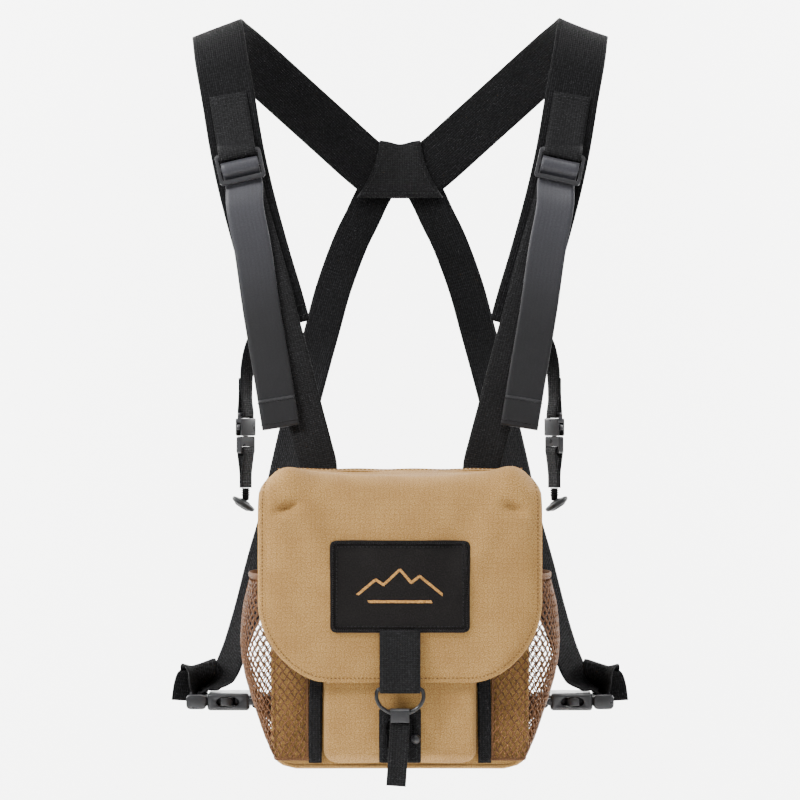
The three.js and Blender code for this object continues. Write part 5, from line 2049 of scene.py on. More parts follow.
        centre = (low[2] + high[2]) / 2
        ridge = np.array(
            [(-27, -6), (-15.5, 3.5), (-10.5, 0.2), (0, 10), (7.2, 1.6), (12.5, 5.8), (27, -6)], float
        )
        ridge[:, 1] += centre + 1
        foot = np.stack([np.linspace(-20, 20, 40), np.full(40, centre - 9.5)], axis=1)
        runs = [even_run(line, 0.5) for line in (ridge, foot)]
        satin = [on_patch(r, 0.12) for r in runs]
        made = self.shop.threads.stitches(
            "patch_motif", satin, self.shop.finishes.motif_thread, 0.5, 2.3, 0.62, 0.62, lean=58, drift=0.05
        )
        self.shop.place(made, "flap", "patch_cloth")

    def _build_strap(self) -> None:
        """Build the closing strap: down from the patch, round the ring's bar and back up."""
        low, high = box_mm("flap_strap")
        ring_low, ring_high = box_mm("d_ring")
        bar_y = (ring_low[1] + ring_high[1]) / 2
        bar_z = ring_high[2] - 1.3
        wrap = 1.35 + 0.75 + 0.55
        patch_low = box_mm("front_patch")[0][2]
        top = patch_low + 3.0
        flat_top = float(self.front_y(0.0, top)) - 0.75
        flat_low = float(self.front_y(0.0, bar_z + 9)) - 0.75
        across = (1.0, 0.0, 0.0)
        stations = [
            ((0.0, flat_top, top), across),
            ((0.0, (flat_top + flat_low) / 2, (top + bar_z + 9) / 2), across),
            ((0.0, flat_low - 0.1, bar_z + 9), across),
        ]
        for degrees in (0, 45, 90, 135, 180):
            angle = math.radians(degrees)
            stations.append(((0.0, bar_y + wrap * math.cos(angle), bar_z - wrap * math.sin(angle)), across))
        leaf = min(flat_top, flat_low) - 1.5
        stations += [
            ((0.0, min(leaf - 0.9, bar_y - 1.6), bar_z + 8), across),
            ((0.0, leaf - 0.4, bar_z + 17), across),
            ((0.0, leaf - 0.1, (top + bar_z) / 2 + 6), across),
            ((0.0, flat_top - 1.4, top - 1.5), across),
        ]
        body, _, _, _ = strap(stations, high[0] - low[0], 1.15, 1, 1.2)
        made = body.to_object("flap_strap_webbing", [self.shop.finishes.webbing])
        self.shop.place(made, "flap", "black_webbing", ["flap_strap"])


# ---------------------------------------------------------------- ring and latch
@dataclass
class RingAndLatch:
    """The round wire ring on the closing strap, the hook that hangs on it and the hook's pull tab.

    Attributes:
        shop: Finishes and thread trees.
        wire: Radius of the ring's wire.
        tab_shift: How far the pull tab leans to the left at its foot.
    """

    shop: Workshop
    wire: float = 1.3
    tab_shift: float = 2.6

    def build(self) -> None:
        """Build the ring, hook and tab."""
        self._build_ring()
        self.shop.moulded("latch_hook", "latch", self.shop.finishes.acetal, "black_acetal", 0.8)
        self._build_tab()

    def _build_ring(self) -> None:
        """Build the ring as one bent wire with a straight bar at the top."""
        low, high = box_mm("d_ring")
        y = (low[1] + high[1]) / 2
        half, top, foot = high[0] - self.wire, high[2] - self.wire, low[2] + self.wire
        tall = top - foot
        places = [
            (-half + 3.2, 0.0),
            (0.0, 0.0),
            (half - 3.2, 0.0),
            (half - 0.7, -1.1),
            (half, -4.2),
            (half - 0.4, -7.5),
            (half - 2.9, -11.6),
            (half - 7.4, -tall + 1.7),
            (half - 11.5, -tall + 0.25),
            (0.0, -tall),
        ]
        places += [(-x, z) for x, z in places[::-1][1:-3]]
        places.append(places[0])
        line, _ = Path([(x, y, top + z) for x, z in places]).at(np.linspace(0, 1, 150))
        made = tube(line[:-1], self.wire, 14, looped=True).to_object(
            "d_ring_wire", [self.shop.finishes.steel]
        )
        recalculate(made)
        self.shop.place(made, "ring", "blackened_steel", ["d_ring"])

    def _build_tab(self) -> None:
        """Build the folded webbing tab with its stitched edges."""
        low, high = box_mm("pull_tab")
        y = (low[1] + high[1]) / 2
        shift = self.tab_shift
        stations = [
            ((0.0, y, high[2] + 0.1), (1, 0, 0)),
            ((-0.15 * shift, y - 0.5, high[2] - 7), (1, -0.02, 0.03)),
            ((-0.5 * shift, y + 0.2, high[2] - 22), (1, -0.03, 0.05)),
            ((-shift, y + 0.1, low[2] + 0.4), (1, 0.02, 0.07)),
        ]
        body, line, wide, off = strap(stations, high[0] - low[0] - 0.4, 2.7, 1, 1.5, 0.25)
        made = body.to_object("pull_tab_webbing", [self.shop.finishes.webbing])
        self.shop.place(made, "latch", "black_webbing", ["pull_tab"])
        front = -np.sign(off[:, 1:2]) * off * 1.42
        inner = slice(2, len(line) - 3)
        lines = [line[inner] + wide[inner] * edge + front[inner] for edge in (-4.6, 4.6)]
        for index in (3, len(line) - 4, len(line) - 9):
            across = np.linspace(-4.6, 4.6, 12)[:, None]
            lines.append(line[index] + wide[index] * across + front[index])
        made = self.shop.threads.stitches(
            "pull_tab_stitches", lines, self.shop.finishes.black_thread, 2.0, 1.6, 0.55, 0.55
        )
        self.shop.place(made, "latch", "black_webbing")


# ---------------------------------------------------------------- shoulder harness
class Harness:
    """Shared lines of the shoulder bands: where they run, and the adjuster that lies on them.

    X is counted outwards from the middle of the pack; the left side mirrors it.
    """

    yoke_y = 75.4
    band = (
        ((77.3, -76, -206.4), (0.956, 0, -0.292)),
        ((82.7, -74, -187), (0.956, 0, -0.292)),
        ((90.8, -71, -160.2), (0.956, 0, -0.292)),
        ((102.4, -65, -117.8), (0.966, 0, -0.259)),
        ((109.3, -60, -87.3), (0.98, 0, -0.199)),
        ((115.8, -51, -50.4), (0.982, 0, -0.191)),
        ((120.9, -36, -24.8), (0.978, 0, -0.208)),
        ((124.3, -14, -5.7), (0.951, 0, -0.309)),
        ((125.6, 3, 0), (0.934, 0, -0.358)),
        ((120.5, 22, -4.3), (0.891, 0, -0.454)),
        ((108.2, 42, -14.2), (0.809, 0, -0.588)),
        ((91.2, 56, -28.7), (0.743, 0, -0.669)),
        ((70.4, 65.5, -47), (0.695, 0, -0.719)),
        ((49.4, 72, -65.6), (0.669, 0, -0.743)),
        ((28.3, 75.0, -84.5), (0.669, 0, -0.743)),
        ((14.5, 75.4, -96), (0.669, 0, -0.743)),
    )

    def __init__(self) -> None:
        """Work out the adjuster's frame from the band under it."""
        self.line = Path([place for place, _ in self.band])
        place, across, down, off = self.frame(3.58)
        web, band, layer = 1.4, 2.5, 0.6
        stack = web + 0.35
        lift = band / 2 + layer + web / 2 + 2 * stack + 0.35 + 1.25 - web / 2 + 0.35
        self.centre = place + off * lift
        self.across, self.down, self.off = across, down, off

    def frame(self, station: float) -> tuple[Array, Array, Array, Array]:
        """The band's own directions at a place counted in stations from its lower end.

        Args:
            station: The place, in stations.

        Returns:
            The place, and the directions across the band, down along it and off its face.
        """
        place, way = self.line.at(np.array([station / (len(self.band) - 1)]))
        index = min(int(station), len(self.band) - 2)
        first, second = (np.array(self.band[i][1], float) for i in (index, index + 1))
        first, second = first / np.linalg.norm(first), second / np.linalg.norm(second)
        down = -way[0]
        across = first + (second - first) * (station - index)
        across -= down * np.dot(across, down)
        across /= np.linalg.norm(across)
        return place[0], across, down, np.cross(down, across)

    def on_band(self, station: float, lift: float) -> tuple[Point, Point]:
        """A strap station that lies on the band, raised off its middle."""
        place, across, _, off = self.frame(station)
        return tuple(place + off * lift), tuple(across)

    def at_adjuster(self, down: float, out: float) -> tuple[Point, Point]:
        """A strap station at the adjuster: down along the strap, and out from the band."""
        return tuple(self.centre + self.down * down + self.off * out), tuple(self.across)


@dataclass
class ShoulderStraps:
    """The wide elastic bands, their adjusters, and the chest webbing with its loose tails.

    Attributes:
        shop: Finishes and thread trees.
        harness: The bands' shared lines.
        band_width: Width of the elastic band.
        band_thickness: Its thickness.
        web_width: Width of the webbing.
        web_thickness: Its thickness.
        pitch: Distance between the adjuster's bars.
        adjuster_depth: Thickness of the adjuster.
    """

    shop: Workshop
    harness: Harness
    band_width: float = 36.0
    band_thickness: float = 2.1
    web_width: float = 25.0
    web_thickness: float = 1.3
    pitch: float = 9.0
    adjuster_depth: float = 2.5

    def build(self) -> None:
        """Build both sides."""
        for name, side in SIDES:
            self._build_band(name, side)
            self.shop.moulded(
                f"strap_adjuster_{name}", "harness", self.shop.finishes.acetal, "black_acetal", 0.8
            )
            self._build_tab(name, side)
            self._build_chest_webbing(name, side)

    def _sew(self, name: str, lines: Sequence[Array]) -> None:
        """Sew along lines on the harness in black thread."""
        thread = self.shop.finishes.black_thread
        self.shop.place(
            self.shop.threads.stitches(name, lines, thread, 2.6, 2.0, 0.7, 0.7), "harness", "black_webbing"
        )

    def _build_band(self, name: str, side: int) -> None:
        """Build the elastic band over the shoulder, with its sewn lower end."""
        body, line, wide, off = strap(
            self.harness.band, self.band_width, self.band_thickness, side, 2.2, -0.35, 14
        )
        made = body.to_object(f"shoulder_band_{name}_elastic", [self.shop.finishes.elastic])
        self.shop.place(made, "harness", "black_elastic", [f"shoulder_band_{name}"])
        front = off * np.sign(-off[:, 1:2]) * (self.band_thickness / 2 + 0.05)
        across = np.linspace(-15.5, 15.5, 24)[:, None]
        self._sew(
            f"shoulder_band_{name}_stitches",
            [line[k] + wide[k] * across + front[k] for k in (2, 5)],
        )

    def _build_tab(self, name: str, side: int) -> None:
        """Build the webbing sewn to the band and folded round the adjuster's top bar."""
        web_on_band = 1.25 + 0.6 + 0.7
        proud = self.adjuster_depth / 2 + 0.55 + 0.7
        p = self.pitch
        at = self.harness.at_adjuster
        on = self.harness.on_band
        stations = [
            on(5, web_on_band - 0.35),
            on(4.66, web_on_band),
            on(4.33, web_on_band + 0.3),
            on(4.12, web_on_band + 1.4),
            at(-p - 5, proud - 2),
            at(-p - 2.2, proud - 0.4),
            at(-p, proud),
            at(-p + 2.2, proud - 0.6),
            at(-p + 2.9, 0),
            at(-p + 2.2, -proud + 0.6),
            at(-p, -proud),
            at(-p - 4, -proud - 0.2),
        ]
        body, line, wide, off = strap(stations, self.web_width, 1.2, side, 1.2)
        made = body.to_object(f"adjuster_tab_{name}_webbing", [self.shop.finishes.webbing])
        self.shop.place(made, "harness", "black_webbing", [f"adjuster_tab_{name}"])
        front = off * np.sign(-off[:, 1:2]) * 0.66
        across = np.linspace(-11, 11, 20)[:, None]
        self._sew(
            f"adjuster_tab_{name}_stitches",
            [line[k] + wide[k] * across + front[k] for k in (2, 4, 6)],
        )

    def _build_chest_webbing(self, name: str, side: int) -> None:
        """Build the webbing from the case, through the adjuster and back down as a loose tail."""
        web, p = 1.4, self.pitch
        slot = p / 2
        stack = web + 0.35
        behind = -(self.adjuster_depth / 2 + 0.45 + web / 2)
        deepest = behind - stack
        proud = self.adjuster_depth / 2 + 0.55 + web / 2
        seam_y, top = -87.5, -304.0
        slant, hang = (0.97, 0, -0.243), (0.985, 0, -0.17)
        at = self.harness.at_adjuster
        stations = [
            ((54, seam_y, top + 1.7), (1, 0, 0)),
            ((54.5, seam_y + 0.7, top + 7), (0.99, 0, -0.1)),
            ((57.6, seam_y + 2, top + 19), slant),
            ((65.8, -82.6, -254.3), slant),
            ((78.5, -79.6, -206), slant),
            ((90.8, -74.4, -160.2), slant),
            at(26, deepest),
            at(12, deepest),
            at(2, deepest),
            at(-1.5, deepest + 0.7),
            at(-slot + 0.5, -1.9),
            at(-slot + 0.25, 0),
            at(-slot + 1.4, proud - 0.5),
            at(0, proud),
            at(slot - 1.1, proud - 0.5),
            at(slot, 0.2),
            at(slot + 1.9, behind + 0.4),
            at(slot + 4, behind),
            at(slot + 8, behind + 0.1),
            ((103.6, -73.6, -124.7), hang),
            ((98, -77.4, -155), hang),
            ((92.4, -81.6, -193), hang),
            ((84.8, -85.2, -237.7), hang),
            ((79, -87.6, -273), hang),
        ]
        body, line, wide, off = strap(stations, self.web_width, self.web_thickness, side, 1.6, 0.25, 10)
        # The run down to the case lies in the tail's shadow and gets the black webbing as painted shadow.
        # The tail gets the grey satin finish as painted light on its lit face.
        run = body.cloth[:, 1]
        body.tints = [int(run[list(face)].mean() < 196) for face in body.faces]
        finishes = [self.shop.finishes.satin, self.shop.finishes.webbing]
        made = body.to_object(f"chest_webbing_{name}_satin", finishes)
        self.shop.place(made, "harness", "black_webbing", [f"chest_webbing_{name}"])
        self._build_tail_end(name, line, wide, off)

    def _build_tail_end(self, name: str, line: Array, wide: Array, off: Array) -> None:
        """Build the folded-over hem at the end of the loose tail, with its stitches."""
        front = off * np.sign(-off[:, 1:2])
        count = 12
        last = len(line) - 1
        rows = line[last - count : last + 1] + front[last - count : last + 1] * 0.72
        half = self.web_width / 2 - 0.5
        across = np.linspace(-half, half, 12)
        grid = rows[:, None] + wide[last - count : last + 1][:, None] * across[None, :, None]
        grid += front[last - count : last + 1][:, None] * 0.95
        flip = bool(np.mean(grid_normals(grid)[..., 1]) > 0)
        run = lengths_along(rows)
        # The hem's run lies past the painted shade span, so the hem gets the full painted shade.
        cloth = np.stack(np.broadcast_arrays(across[None, :], run[:, None] + 400), axis=2)
        made = sheet(grid, cloth, 0.9, flip=flip).to_object(
            f"chest_tail_hem_{name}", [self.shop.finishes.satin]
        )
        self.shop.place(made, "harness", "black_webbing")
        lines = [grid[k] + front[last] * 0.05 for k in (1, 10)]
        self._sew(f"chest_tail_stitches_{name}", lines)


# ---------------------------------------------------------------- yoke and back straps
@dataclass
class BackStraps:
    """The yoke between the shoulder blades and the elastic straps that run down to the waist buckles.

    Attributes:
        shop: Finishes and thread trees.
        top_width: Width of the yoke's top edge.
        bottom_width: Width of its bottom edge.
        waist: Amount that its sides draw in.
        web_width: Width of the straps.
        web_thickness: Their thickness.
    """

    shop: Workshop
    top_width: float = 28.0
    bottom_width: float = 60.0
    waist: float = 3.0
    web_width: float = 25.0
    web_thickness: float = 1.5

    def build(self) -> None:
        """Build the yoke's two leaves and both straps."""
        self._build_leaf("yoke_front", front=True)
        self._build_leaf("yoke_back", front=False)
        for name, side in SIDES:
            self._build_strap(name, side)

    def _half(self, z: Array, low: float, high: float) -> Array:
        """Half-width of the yoke at a height."""
        share = (z - low) / (high - low)
        straight = self.bottom_width / 2 + (self.top_width - self.bottom_width) / 2 * share
        return straight - self.waist * np.sin(math.pi * share)

    def _build_leaf(self, node: str, front: bool) -> None:
        """Build one leaf of the yoke, its edge sewn down.

        Args:
            node: The CAD node it stands for.
            front: Whether it is the leaf away from the wearer.
        """
        low, high = box_mm(node)
        levels = eased_levels(low[2], high[2], 34)
        widths = self._half(levels, low[2], high[2])
        way = -1 if front else 1
        face = low[1] if front else high[1]

        def depth_at(x: Array, z: Array) -> Array:
            """Outer face of the leaf, lying over the crossed straps under it."""
            half = self._half(z, low[2], high[2])
            edge = np.minimum(half - np.abs(x), np.minimum(z - low[2], high[2] - z))
            cross = 0.7 * np.exp(-(((np.abs(x) - (z - low[2]) * 0.25 - 6) / 9) ** 2))
            return face + way * (cross - 0.3 - 0.9 * np.exp(-np.maximum(edge, 0) / 2.0))

        grid, cloth = level_grid(levels, widths, 44, depth_at)
        # The top edge dips between the two bands.
        dip = 2.6 * np.exp(-((grid[..., 0] / 7.5) ** 2)) * smooth_step(grid[..., 2], high[2] - 12, high[2])
        grid[..., 2] -= dip
        made = sheet(grid, cloth, 1.2, flip=not front).to_object(f"{node}_leaf", [self.shop.finishes.webbing])
        self.shop.place(made, "harness", "black_cloth", [node])
        lines = []
        z = np.linspace(low[2] + 3, high[2] - 4.5, 30)
        for sign in (-1, 1):
            x = sign * (self._half(z, low[2], high[2]) - 3)
            lines.append(np.stack([x, depth_at(x, z) + way * 0.1, z], axis=1))
        x = np.linspace(-self.bottom_width / 2 + 5, self.bottom_width / 2 - 5, 30)
        level = np.full(30, low[2] + 3.0)
        lines.append(np.stack([x, depth_at(x, level) + way * 0.1, level], axis=1))
        made = self.shop.threads.stitches(
            f"{node}_stitches", lines, self.shop.finishes.black_thread, 2.6, 2.0, 0.6, 0.6
        )
        self.shop.place(made, "harness", "black_cloth")

    def _build_strap(self, name: str, side: int) -> None:
        """Build one strap from the yoke, down and through the waist buckle's plug, with its free tail."""
        back_y, mouth, waist_y, waist_z, low_z = 79.8, 128.0, -70.0, -455.5, -112.0
        top = back_y - 0.35 - 0.7
        first, second = 0.3 + 0.2 * 14, 14 - 0.2 * 14 - 3.2
        in_x, out_x = mouth + first + 1.6, mouth + second + 1.6
        under = 3.0 + 0.5 + 0.7
        level = (0.0, 1.0, 0.0)
        stations = [
            ((13.4, top, low_z + 12), (0.83, 0, 0.55)),
            ((20, top, low_z), (0.84, 0, 0.54)),
            ((26.5, top - 1.2, low_z - 14), (0.86, 0, 0.5)),
            ((34.5, top - 3.6, -142.5), (0.91, 0, 0.4)),
            ((46.5, 70, -175.3), (0.93, 0.1, 0.33)),
            ((54.8, 58, -206.6), (0.93, 0.2, 0.3)),
            ((62.1, 42, -235.5), (0.9, 0.3, 0.25)),
            ((75.7, 5, -292.8), (0.83, 0.48, 0.2)),
            ((83.9, -18, -330), (0.78, 0.55, 0.2)),
            ((93.5, -36, -363.4), (0.73, 0.62, 0.2)),
            ((101.8, -50, waist_z + 61), (0.69, 0.68, 0.2)),
            ((110.0, -57, waist_z + 35.5), (0.66, 0.74, 0.15)),
            ((116.0, -58.5, waist_z + 20), (0.7, 0.7, 0.06)),
            ((120.0, -61, waist_z + 11.5), (0.62, 0.78, 0)),
            ((126.0, -67, waist_z + 7.6), (0.25, 0.97, 0)),
            ((in_x - 1.6, waist_y, waist_z + 6.6), level),
            ((in_x, waist_y, waist_z + 3.5), level),
            ((in_x, waist_y, waist_z - 2), level),
            (((in_x + out_x) / 2, waist_y, waist_z - under - 0.4), level),
            ((out_x, waist_y, waist_z - 2), level),
            ((out_x, waist_y, waist_z + 3.5), level),
            ((out_x - 0.8, waist_y + 0.5, waist_z + 9.5), (-0.3, 0.95, 0)),
            ((out_x - 2.4, waist_y + 2.5, waist_z + 16), (-0.55, 0.8, 0.15)),
            ((out_x - 3.0, waist_y + 6.5, waist_z + 21.5), (-0.78, 0.57, 0.25)),
            ((out_x - 2.0, waist_y + 11.5, waist_z + 22.8), (-0.82, 0.5, 0.27)),
            ((out_x + 0.2, waist_y + 15.5, waist_z + 19), (-0.85, 0.45, 0.25)),
            ((out_x + 2.6, waist_y + 18, waist_z + 10.5), (-0.9, 0.4, 0.1)),
            ((out_x + 4.0, waist_y + 19, waist_z - 2), (-0.95, 0.3, 0.03)),
        ]
        body, line, wide, off = strap(stations, self.web_width, self.web_thickness, side, 1.8, -0.2, 10)
        made = body.to_object(f"back_strap_{name}_elastic", [self.shop.finishes.elastic])
        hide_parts(f"back_strap_{name}", f"waist_strap_end_{name}")
        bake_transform(made)
        LOG.info("%s bends from harness to waist_plug_%s", made.name, name)
        thread = self.shop.finishes.black_thread
        across = np.linspace(-10, 10, 16)[:, None]
        front = off * np.sign(-off[:, 0:1] * side) * 0.78
        last = len(line) - 4
        ends = [line[last] + wide[last] * across - front[last]]
        made = self.shop.threads.stitches(f"waist_tail_stitches_{name}", ends, thread, 2.4, 1.9, 0.6, 0.6)
        self.shop.place(made, f"waist_plug_{name}", "black_elastic")


# ---------------------------------------------------------------- buckles
@dataclass
class WaistBuckles:
    """Two side-release buckles beside the case, each with its webbing loop.

    Attributes:
        shop: Finishes and thread trees.
        mouth: Distance of the socket's mouth from the middle of the pack.
        length: Length of the socket.
        width: Its width.
        thickness: Its thickness.
        cavity: Depth and height of the hollow that the plug enters.
        bar: Length of the rear bar.
        slot: Length of the webbing slot behind it.
    """

    shop: Workshop
    mouth: float = 128.0
    length: float = 34.0
    width: float = 33.0
    thickness: float = 11.5
    cavity: tuple[float, float] = (25.0, 6.0)
    bar: float = 2.6
    slot: float = 3.2

    def build(self) -> None:
        """Build both buckles and their loops."""
        acetal = self.shop.finishes.acetal
        for name, side in SIDES:
            self._build_socket(name, side)
            self.shop.moulded(f"waist_buckle_plug_{name}", f"waist_plug_{name}", acetal, "black_acetal", 0.9)
            self._build_cheeks(name, side)
            for arm in ("a", "b"):
                self.shop.moulded(
                    f"waist_buckle_arm_{arm}_{name}", f"waist_arm_{arm}_{name}", acetal, "black_acetal", 0.6
                )
            self._build_tab(name, side)

    @staticmethod
    def _solid(name: str, low: Point, high: Point, bevel: float, segments: int = 4) -> bpy.types.Object:
        """A block with eased edges, for shaping the socket.

        Args:
            name: The object's name.
            low: Its lowest corner.
            high: Its highest corner.
            bevel: Radius of its edges.
            segments: Faces round each edge.

        Returns:
            The block.
        """
        shape = bmesh.new()
        bmesh.ops.create_cube(shape, size=1.0)
        size = [(h - l) * MM for l, h in zip(low, high)]
        centre = [(h + l) / 2 * MM for l, h in zip(low, high)]
        for vertex in shape.verts:
            vertex.co = Vector([c * s + m for c, s, m in zip(vertex.co, size, centre)])
        if bevel > 0:
            bmesh.ops.bevel(
                shape, geom=shape.edges[:], offset=bevel * MM, segments=segments, profile=0.5, affect="EDGES"
            )
        mesh = bpy.data.meshes.new(name)
        shape.to_mesh(mesh)
        shape.free()
        made = bpy.data.objects.new(name, mesh)
        bpy.context.scene.collection.objects.link(made)
        return made

    @staticmethod
    def _oval(
        name: str, centre: Point, length: float, height: float, deep: float, power: float = 0.75,
        ease: float = 1.0
    ) -> bpy.types.Object:
        """An oval block that runs along Y.

        Args:
            name: The object's name.
            centre: Its middle.
            length: Its size along X.
            height: Its size along Z.
            deep: Its size along Y.
            power: How square the oval is, 1 for an ellipse and less for a squarer one.
            ease: Size of its two ends beside its middle, under 1 for a rounded rim.

        Returns:
            The block.
        """
        angles = np.linspace(0, 2 * math.pi, 48, endpoint=False)
        flat = np.abs(np.cos(angles)) ** power * np.sign(np.cos(angles)) * length / 2
        tall = np.abs(np.sin(angles)) ** (power + 0.15) * np.sign(np.sin(angles)) * height / 2
        rings = []
        for share, size in (
            (-1, ease), (-0.86, (1 + ease) / 2), (-0.6, 1), (0.6, 1), (0.86, (1 + ease) / 2), (1, ease)
        ):
            y = np.full(48, centre[1] + share * deep / 2)
            rings.append(np.stack([centre[0] + flat * size, y, centre[2] + tall * size], axis=1))
        built = loft(np.array(rings), np.zeros((len(rings), 48, 2)))
        made = built.to_object(name, [])
        recalculate(made)
        return made

    def _build_cheeks(self, name: str, side: int) -> None:
        """Build the plug's two side cheeks, which guard the folded webbing between them."""
        low, high = box_mm(f"waist_buckle_socket_{name}")
        middle_y, middle_z = (low[1] + high[1]) / 2, (low[2] + high[2]) / 2
        cheeks = []
        for way in (-1, 1):
            centre = (side * (self.mouth + 7.2), middle_y + way * (self.width / 2 - 1.7), middle_z)
            cheeks.append(self._oval("cheek", centre, 13.6, self.thickness - 1.6, 3.3, 0.42, 0.8))
        made = cheeks[0]
        shape = bmesh.new()
        for cheek in cheeks:
            shape.from_mesh(cheek.data)
        shape.to_mesh(made.data)
        shape.free()
        bpy.data.objects.remove(cheeks[1])
        made.name = f"waist_plug_cheeks_{name}"
        made.data.materials.clear()
        made.data.materials.append(self.shop.finishes.acetal)
        made.data.shade_smooth()
        self.shop.place(made, f"waist_plug_{name}", "black_acetal")

    def _build_socket(self, name: str, side: int) -> None:
        """Build the socket as a smooth moulded shell with an oval window in each side."""
        low, high = box_mm(f"waist_buckle_socket_{name}")
        middle_y, middle_z = (low[1] + high[1]) / 2, (low[2] + high[2]) / 2
        inner, mouth = self.mouth - self.length, self.mouth
        half_w, half_t = self.width / 2, self.thickness / 2

        def span(x0: float, x1: float) -> tuple[float, float]:
            """Outward X pair turned to the right side and order."""
            return (min(side * x0, side * x1), max(side * x0, side * x1))

        body_start = inner + self.bar + self.slot
        x = span(body_start, mouth)
        body = self._solid(
            f"waist_socket_{name}",
            (x[0], middle_y - half_w, middle_z - half_t),
            (x[1], middle_y + half_w, middle_z + half_t),
            2.2,
            5,
        )
        x = span(inner, body_start + 3)
        rear = self._solid(
            "rear", (x[0], middle_y - half_w + 0.6, middle_z - 2.2),
            (x[1], middle_y + half_w - 0.6, middle_z + 2.2), 1.2
        )
        x = span(mouth - self.cavity[0], mouth + 2)
        half_c = self.cavity[1] / 2
        hollow = self._solid(
            "hollow", (
                x[0], middle_y - half_w + 2.9, middle_z - half_c
            ), (x[1], middle_y + half_w - 2.9, middle_z + half_c), 0.8
        )
        x = span(inner + self.bar, inner + self.bar + self.slot)
        slot = self._solid(
            "slot", (x[0], middle_y - 13.3, middle_z - 9), (x[1], middle_y + 13.3, middle_z + 9), 0.6
        )
        centre = side * (mouth - 13.6)
        window = self._oval("window", (centre, middle_y, middle_z), 15.5, 7.0, self.width + 8)
        for tool, way in (
            (rear, "UNION"), (hollow, "DIFFERENCE"), (slot, "DIFFERENCE"), (window, "DIFFERENCE")
        ):
            cut = body.modifiers.new(way.lower(), "BOOLEAN")
            cut.operation = way
            cut.solver = "EXACT"
            cut.object = tool
        ease = body.modifiers.new("eased_edges", "BEVEL")
        ease.width = 0.45 * MM
        ease.segments = 2
        ease.limit_method = "ANGLE"
        ease.angle_limit = math.radians(50)
        graph = bpy.context.evaluated_depsgraph_get()
        plain = bpy.data.meshes.new_from_object(body.evaluated_get(graph), depsgraph=graph)
        body.modifiers.clear()
        body.data = plain
        for tool in (rear, hollow, slot, window):
            bpy.data.objects.remove(tool)
        plain.materials.clear()
        plain.materials.append(self.shop.finishes.acetal)
        plain.shade_smooth()
        plain.set_sharp_from_angle(angle=math.radians(38))
        self.shop.place(body, "harness", "black_acetal", [f"waist_buckle_socket_{name}"])

    def _build_tab(self, name: str, side: int) -> None:
        """Build the webbing loop from the seam at the back of the case to the socket's bar."""
        waist_y, waist_z = -70.0, -455.5
        slot_x = self.mouth - self.length + self.bar + self.slot / 2
        bar_x = slot_x - (self.slot + self.bar) / 2
        over = 2.2 + 0.8 + 0.7
        seam_x, seam_y = 82.8, -87.5
        upright, level = (0.0, 0.0, 1.0), (0.0, 1.0, 0.0)
        middle = (seam_x + bar_x) / 2
        stations = [
            ((seam_x, seam_y, waist_z), upright),
            ((seam_x + 0.8, seam_y + 6, waist_z), upright),
            ((seam_x + 2.6, waist_y - 4.5, waist_z), upright),
            ((middle - 1.6, waist_y - 0.8, waist_z + 1.4), (0, 0.7, 0.7)),
            ((bar_x - 4.8, waist_y, waist_z + over - 0.9), level),
            ((bar_x - 2.6, waist_y, waist_z + over), level),
            ((bar_x + 0.2, waist_y, waist_z + over), level),
            ((bar_x + 1.6, waist_y, waist_z + over - 0.1), level),
            ((slot_x + 0.1, waist_y, waist_z + 0.5 * over), level),
            ((slot_x + 0.1, waist_y, waist_z - 0.5 * over), level),
            ((bar_x + 1.4, waist_y, waist_z - over), level),
            ((bar_x - 1.5, waist_y, waist_z - over), level),
        ]
        body, _, _, _ = strap(stations, 25.0, 1.3, side, 1.2)
        made = body.to_object(f"anchor_tab_{name}_webbing", [self.shop.finishes.webbing])
        self.shop.place(made, "harness", "black_webbing", [f"anchor_tab_{name}"])


